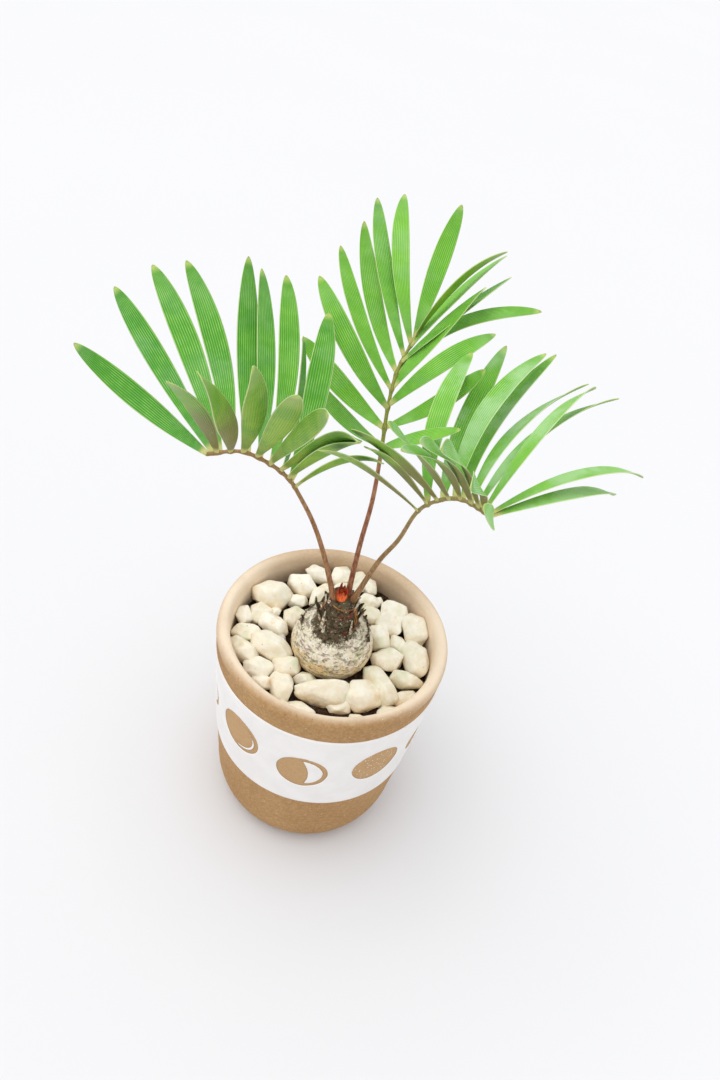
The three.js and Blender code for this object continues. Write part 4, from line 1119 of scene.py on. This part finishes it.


# ---------------------------------------------------------------- fronds

# Each frond has the distance along its stalk where the leaflets begin, their width, the first of those
# whose underside is browned, how fresh their green is, how strong the painted sheen on them is, the stalk's
# points from the crown outwards, and the leaflets: (root along the stalk, length, heading, rise, bow,
# sweep, twist, roll, share of the width). Heading is the direction seen from above and rise the angle over
# the level, both in degrees and of the straight line from root to tip. Bow lifts the middle off that line
# towards the upper face and sweep moves it towards the stalk's tip, in millimetres. Twist turns the
# blade's tip about its own length and roll turns the whole blade, in degrees. The leaflets' numbers are the
# output of a separate fitting program, apart from the roots and most of the lengths.
FRONDS = {
    "left": {
        "leaf_start": 47, "leaflet_width": 5.7, "browned": 15, "freshness": 0.2, "painted_sheen": 0.07,
        "stalk": [
            (-3, -2, 103), (-8.5, -4.5, 122), (-13.2, -8, 136.5), (-18, -11, 147.5), (-21.5, -14, 155),
            (-27, -17.2, 161), (-34, -19.2, 164), (-42, -21.5, 162.5),
        ],
        "leaflets": [
            (55.5, 46, 90.6, 50.8, 2.1, 0.4, -5.6, -48.9, 1.16), (60, 41, 97.3, 32, 0.4, -2.3, 1, 21, 1),
            (64.5, 51, 102.9, 43.3, 0.4, -2.8, -22, -11, 1.05),
            (68, 50, 108.7, 44.3, -0.4, -1.6, 18, -1, 1.01),
            (71.5, 52, 109, 42.8, -1.7, -0.1, 23, -2, 1.05),
            (76, 52, 124.8, 37.1, -1.6, -2.6, 12, 3, 1.09),
            (78.7, 53, 132.1, 34.1, -0.7, -1.7, 3, 3, 1.12),
            (80.5, 52, 141.9, 27.4, 0.4, -0.1, -2, -6, 1.02),
            (81.9, 47, 157, 14.3, -5.1, -0.6, -8, -17, 1.08),
            (52.5, 34, -29.5, 42.8, 4.7, -0.4, -27.2, 35.3, 0.99),
            (57, 40, -49.1, 48.8, 2.9, -0.3, 5.4, 26.9, 1),
            (61, 46, -53.2, 45.3, 5.6, -2.3, -2.8, 2.2, 0.99),
            (65, 51, -62.8, 48.9, 2.7, -0.6, -9, -54, 0.99),
            (69, 51, -68.1, 51.3, 0.8, -0.9, -3, 12, 1.07), (72.8, 50, -78.3, 56, 0.9, -1.7, 77, 9, 1.15),
            (76, 47, -94.1, 54.4, -1.4, -2.3, 102, 20, 1.06),
            (79.5, 44, -100.1, 52.6, 1.5, -1, -8, -19, 0.99),
        ],
    },
    "middle": {
        "leaf_start": 48, "leaflet_width": 5.3, "browned": 16, "freshness": 0.5, "painted_sheen": 0.09,
        "stalk": [
            (1.5, 0.8, 103), (1.5, 3, 122), (2, 6, 139), (1, 10, 155.5), (0, 16, 166), (0.3, 23.7, 173.3),
            (3, 34, 179),
        ],
        "leaflets": [
            (53.5, 32, 147.3, 13.9, -1.6, -2.6, -19, 4, 1.02),
            (58.7, 35.5, 155.1, 25.1, -0.6, -1.2, 17, 11, 1.15),
            (64.5, 41, 164.1, 48.5, 3.8, -3.1, 12, -20, 1.1), (70, 42, 143.5, 46.8, 0.1, -2.2, 3, 8, 1),
            (75.3, 45, 125.1, 42, -6, 0.6, -17, -31, 1.03),
            (81, 48, 120.5, 40.8, -0.4, -1.4, -8, -3, 1.01),
            (86, 45, 111.7, 43.3, 0.9, -3.4, -10, -18, 1.03),
            (53.3, 33, -41.5, 41.8, 1.7, -0.1, -11, -35, 0.99),
            (59, 33.1, 6.8, 45.9, -4.8, -0.8, -2.2, -11.9, 0.99),
            (65.3, 37.3, 36.2, 32.7, 3.6, 1.6, -28.8, -9.2, 1.04),
            (70.5, 38, 40.3, 48.8, -1.7, 2, -57, 0, 1.09), (74.5, 45, 22.8, 29.2, -3.9, 9, 3, -17, 1),
            (79, 41, 41.7, 33.6, 3.3, -1.8, -23, -19, 1), (85, 40, 48.2, 35.5, 3.9, -3.2, -20, -4, 1),
            (87.3, 37, 41.6, 42.1, 6.2, -5.1, 26, -55, 1.01),
            (88.1, 40, 79.1, 55, -0.9, 1.1, 12, -63, 1.09),
        ],
    },
    "right": {
        "leaf_start": 43, "leaflet_width": 5.8, "browned": 9, "freshness": 0.54, "painted_sheen": 0.32,
        "stalk": [
            (3.8, -0.6, 103), (8.2, 0, 120), (12.2, -2.5, 133), (14.8, -6.5, 148), (19, -9.7, 156),
            (25, -11.3, 159.5), (33.2, -15.4, 159.5),
        ],
        "leaflets": [
            (53, 45.2, 85.4, 41.9, 5.9, 2.3, -10.9, 47.8, 1.04),
            (58.5, 47, 76.9, 41.1, -6, -7.2, -17, 27, 1.11), (62, 50, 66.2, 34.6, 3.2, -4.3, -8, 1, 1.01),
            (64.5, 51, 66.1, 33.1, -4.7, -6.4, -10, -19, 1.01),
            (66.8, 52, 55.6, 24.8, 0.5, -5.4, -35, -33, 1.02),
            (71, 51, 57.5, 25.7, 12, 0.2, -34, -36, 0.99), (69, 52, 45.8, 26.1, 3, -4.7, -35, -34, 1.01),
            (72.4, 50, 31.3, 6.6, 10.2, 1.8, -6, -22, 0.99),
            (73.1, 44, 35, -2.4, 8.3, 5.3, -25, -7, 1.01),
            (48, 56, -129.9, 40.1, 4.8, -1.4, 22.3, -47.6, 1),
            (53, 42, -130.7, 44.4, 3.8, -1.6, 7.4, -34.6, 1),
            (57, 49, -135.3, 42.4, 2, -0.2, 4.9, -22.3, 1),
            (60.5, 50, -127.6, 46.5, 1.8, -0.4, -47, -30, 1.01),
            (63.7, 48, -123.1, 41.2, 3.9, 0, -18, -15, 0.97),
            (67, 48, -124.6, 44.8, 3.1, -1.8, -48, 0, 1),
            (69.2, 47, -120.9, 46.4, 3.9, -3.1, -50, -11, 1.02),
            (71, 30, -113.4, 43.6, 3.4, -1.9, -51, -17, 1.1),
            (72.5, 22, -107.7, 41.5, -1.3, 2.5, -26, -51, 0.99),
        ],
    },
}


def stalk_points(corners):
    """Points close together along a uniform Catmull-Rom spline through the corners, whose ends are
    carried on straight, and the distance of each from the start."""
    knots = np.asarray(corners, float)
    knots = np.concatenate([[2 * knots[0] - knots[1]], knots, [2 * knots[-1] - knots[-2]]])
    share = np.linspace(0, 1, 80, endpoint=False)[None, :, None]
    before, start, end, after = (knots[at:len(knots) - 3 + at, None] for at in range(4))
    leave, arrive = (end - before) / 2, (after - start) / 2
    points = (start + leave * share + (3 * (end - start) - 2 * leave - arrive) * share**2
              + (2 * (start - end) + leave + arrive) * share**3)
    points = np.concatenate([points.reshape(-1, 3), knots[-2:-1]])
    gaps = np.linalg.norm(np.diff(points, axis=0), axis=1)
    return points, np.concatenate([[0], np.cumsum(gaps)])


def on_path(points, reach, distance):
    """The place at each distance along a path of points, whose own distances are in reach."""
    return np.stack([np.interp(distance, reach, points[:, axis]) for axis in range(3)], -1)


def leaflet_share(along):
    """Share of a leaflet's full width: a sine from a narrow foot to the widest place, then a pointed
    arch, (1 - t²) to the power 0.57, to the tip."""
    swell = 0.2 + 0.8 * np.sin(math.pi / 2 * np.minimum(1, along / WIDEST))
    beyond = np.maximum(0, along - WIDEST) / (1 - WIDEST)
    return swell * np.clip(1 - beyond**2, 0.0, 1) ** 0.57


def leaflet(path, frond, row, seed, browned):
    """One leaflet as a ribbon along an arched and swept line. Its edge direction starts along the stalk,
    is kept square to the line, and turns by roll + twist · along² and a slight drawn stray. The foot is
    a small round joint."""
    points, reach = path
    root, length, heading, rise, bow, sweep, twist, roll, breadth = row
    start = on_path(points, reach, root)
    ends = on_path(points, reach, np.array([root - 0.4, root + 0.4]))
    stalkward = unit(ends[1] - ends[0])
    turn, lift = math.radians(heading), math.radians(rise)
    chord = np.array([math.cos(lift) * math.cos(turn), math.cos(lift) * math.sin(turn), math.sin(lift)])
    wide = unit(stalkward - chord * (stalkward @ chord))
    face = np.cross(chord, wide)
    outward = -1 if face[2] < 0 else 1
    face = face * outward
    along = 0.5 - 0.5 * np.cos(np.linspace(0, math.pi, BLADE_ROWS))
    arch = 4 * along * (1 - along)
    place = np.stack([along * 3.3, along * 0 + seed * 1.7, along * 0], -1)
    flutter = BLADE_FLUTTER * rough(place, 1.0, layers=2)
    middle = (start + chord * (length * along)[:, None] + face * (bow * arch + flutter)[:, None]
              + wide * (sweep * arch)[:, None])
    ahead = path_frame(middle)
    edge = unit(outward * (wide - ahead * (ahead @ wide)[:, None]))
    stray = TWIST_STRAY * (draw(seed + 0.15) - 0.5) * along
    angle = np.radians(roll + twist * along**2 + stray)[:, None]
    edge = edge * np.cos(angle) + np.cross(ahead, edge) * np.sin(angle)
    upper = np.cross(ahead, edge)
    half_width = frond["leaflet_width"] / 2 * leaflet_share(along) * breadth
    joint = np.exp(-(along * length / JOINT_LENGTH) ** 2)
    thickness = BLADE_THICKNESS * (0.35 + 0.65 * np.sqrt(leaflet_share(along))) + JOINT_THICKNESS * joint
    cup = BLADE_CUP * half_width * (1 - joint)
    rows = ribbon(middle, edge, upper, half_width + 0.02, thickness, BLADE_SIDES, cup)
    ring = turns(BLADE_SIDES)
    # The sheen fact is the strength of the painted sheen, a painted highlight on the upper face.
    facts = {
        "across": np.cos(ring)[None], "along": along[:, None], "upper": 0.5 + 0.5 * np.sin(ring)[None],
        "tone": frond["freshness"] + 0.3 * (draw(seed + 0.55) - 0.5), "painted_sheen": frond["painted_sheen"],
        "browned": browned, "root": (along * length)[:, None],
    }
    return closed_skin(rows, facts)


def make_stalk(side, frond, path, look):
    """The leaf stalk and the rib that it runs on into, as one tapering rod: flared at the crown, with a
    small knob at each leaflet's joint."""
    points, reach = path
    length = reach[-1]
    distance = np.linspace(-1.5, length, STALK_ROWS)
    middle = on_path(points, reach, distance)
    first = unit(points[3] - points[0])
    middle = middle + first * np.minimum(distance, 0)[:, None]
    radius = STALK_RADIUS + (TIP_RADIUS - STALK_RADIUS) * (np.maximum(distance, 0) / length) ** 0.8
    radius = radius + STALK_FLARE * np.exp(-np.maximum(distance, 0) / 2.0)
    for row in frond["leaflets"]:
        radius = radius + KNOB_HEIGHT * np.exp(-((distance - row[0]) / 0.8) ** 2)
    start = frond["leaf_start"]
    facts = {
        "along": np.clip(distance / start, 0, 1)[:, None],
        "green": ease(distance, start - 4, start + 8)[:, None],
    }
    skin = closed_skin(rod(middle, radius, STALK_SIDES), facts)
    make_piece(f"stalk_{side}", [skin], look, "stalk", f"petiole_{side}", f"frond_{side}")


# For each stalk the browns of its foot and its top, and the green of its rib.
STALK_COLOURS = {
    "left": ("7c4727", "8f6234", "8d6f3c"),
    "middle": ("76321a", "854a29", "7d862c"),
    "right": ("7b5430", "87713f", "8d8048"),
}


def make_fronds():
    """For each frond a stalk and its leaflets. Those from browned on have a brown underside."""
    leaf = leaf_finish()
    for number, (side, frond) in enumerate(FRONDS.items()):
        path = stalk_points(frond["stalk"])
        low, high, green = STALK_COLOURS[side]
        make_stalk(side, frond, path, stalk_finish(f"stalk_{side}", low, high, green))
        blades = []
        for index, row in enumerate(frond["leaflets"]):
            browned = float(index >= frond["browned"])
            blades.append(leaflet(path, frond, row, number * SEEDS_PER_FROND + index, browned))
        make_piece(f"leaflets_{side}", blades, leaf, "leaf", f"frond_{side}")


# ---------------------------------------------------------------- the scene


def make_ground():
    """A wide pale floor, level with the pot's base."""
    corners = [(x * FLOOR_HALF, y * FLOOR_HALF, 0) for x, y in ((-1, -1), (1, -1), (1, 1), (-1, 1))]
    mesh = bpy.data.meshes.new("floor")
    mesh.from_pydata(corners, [], [(0, 1, 2, 3)])
    mesh.materials.append(ground_finish())
    placed("floor", mesh)


make_camera()
make_studio()
make_ground()
make_pot()
make_glaze_band()
make_soil()
make_crumbs()
make_stones()
make_caudex()
make_bud()
make_fibres()
make_fronds()
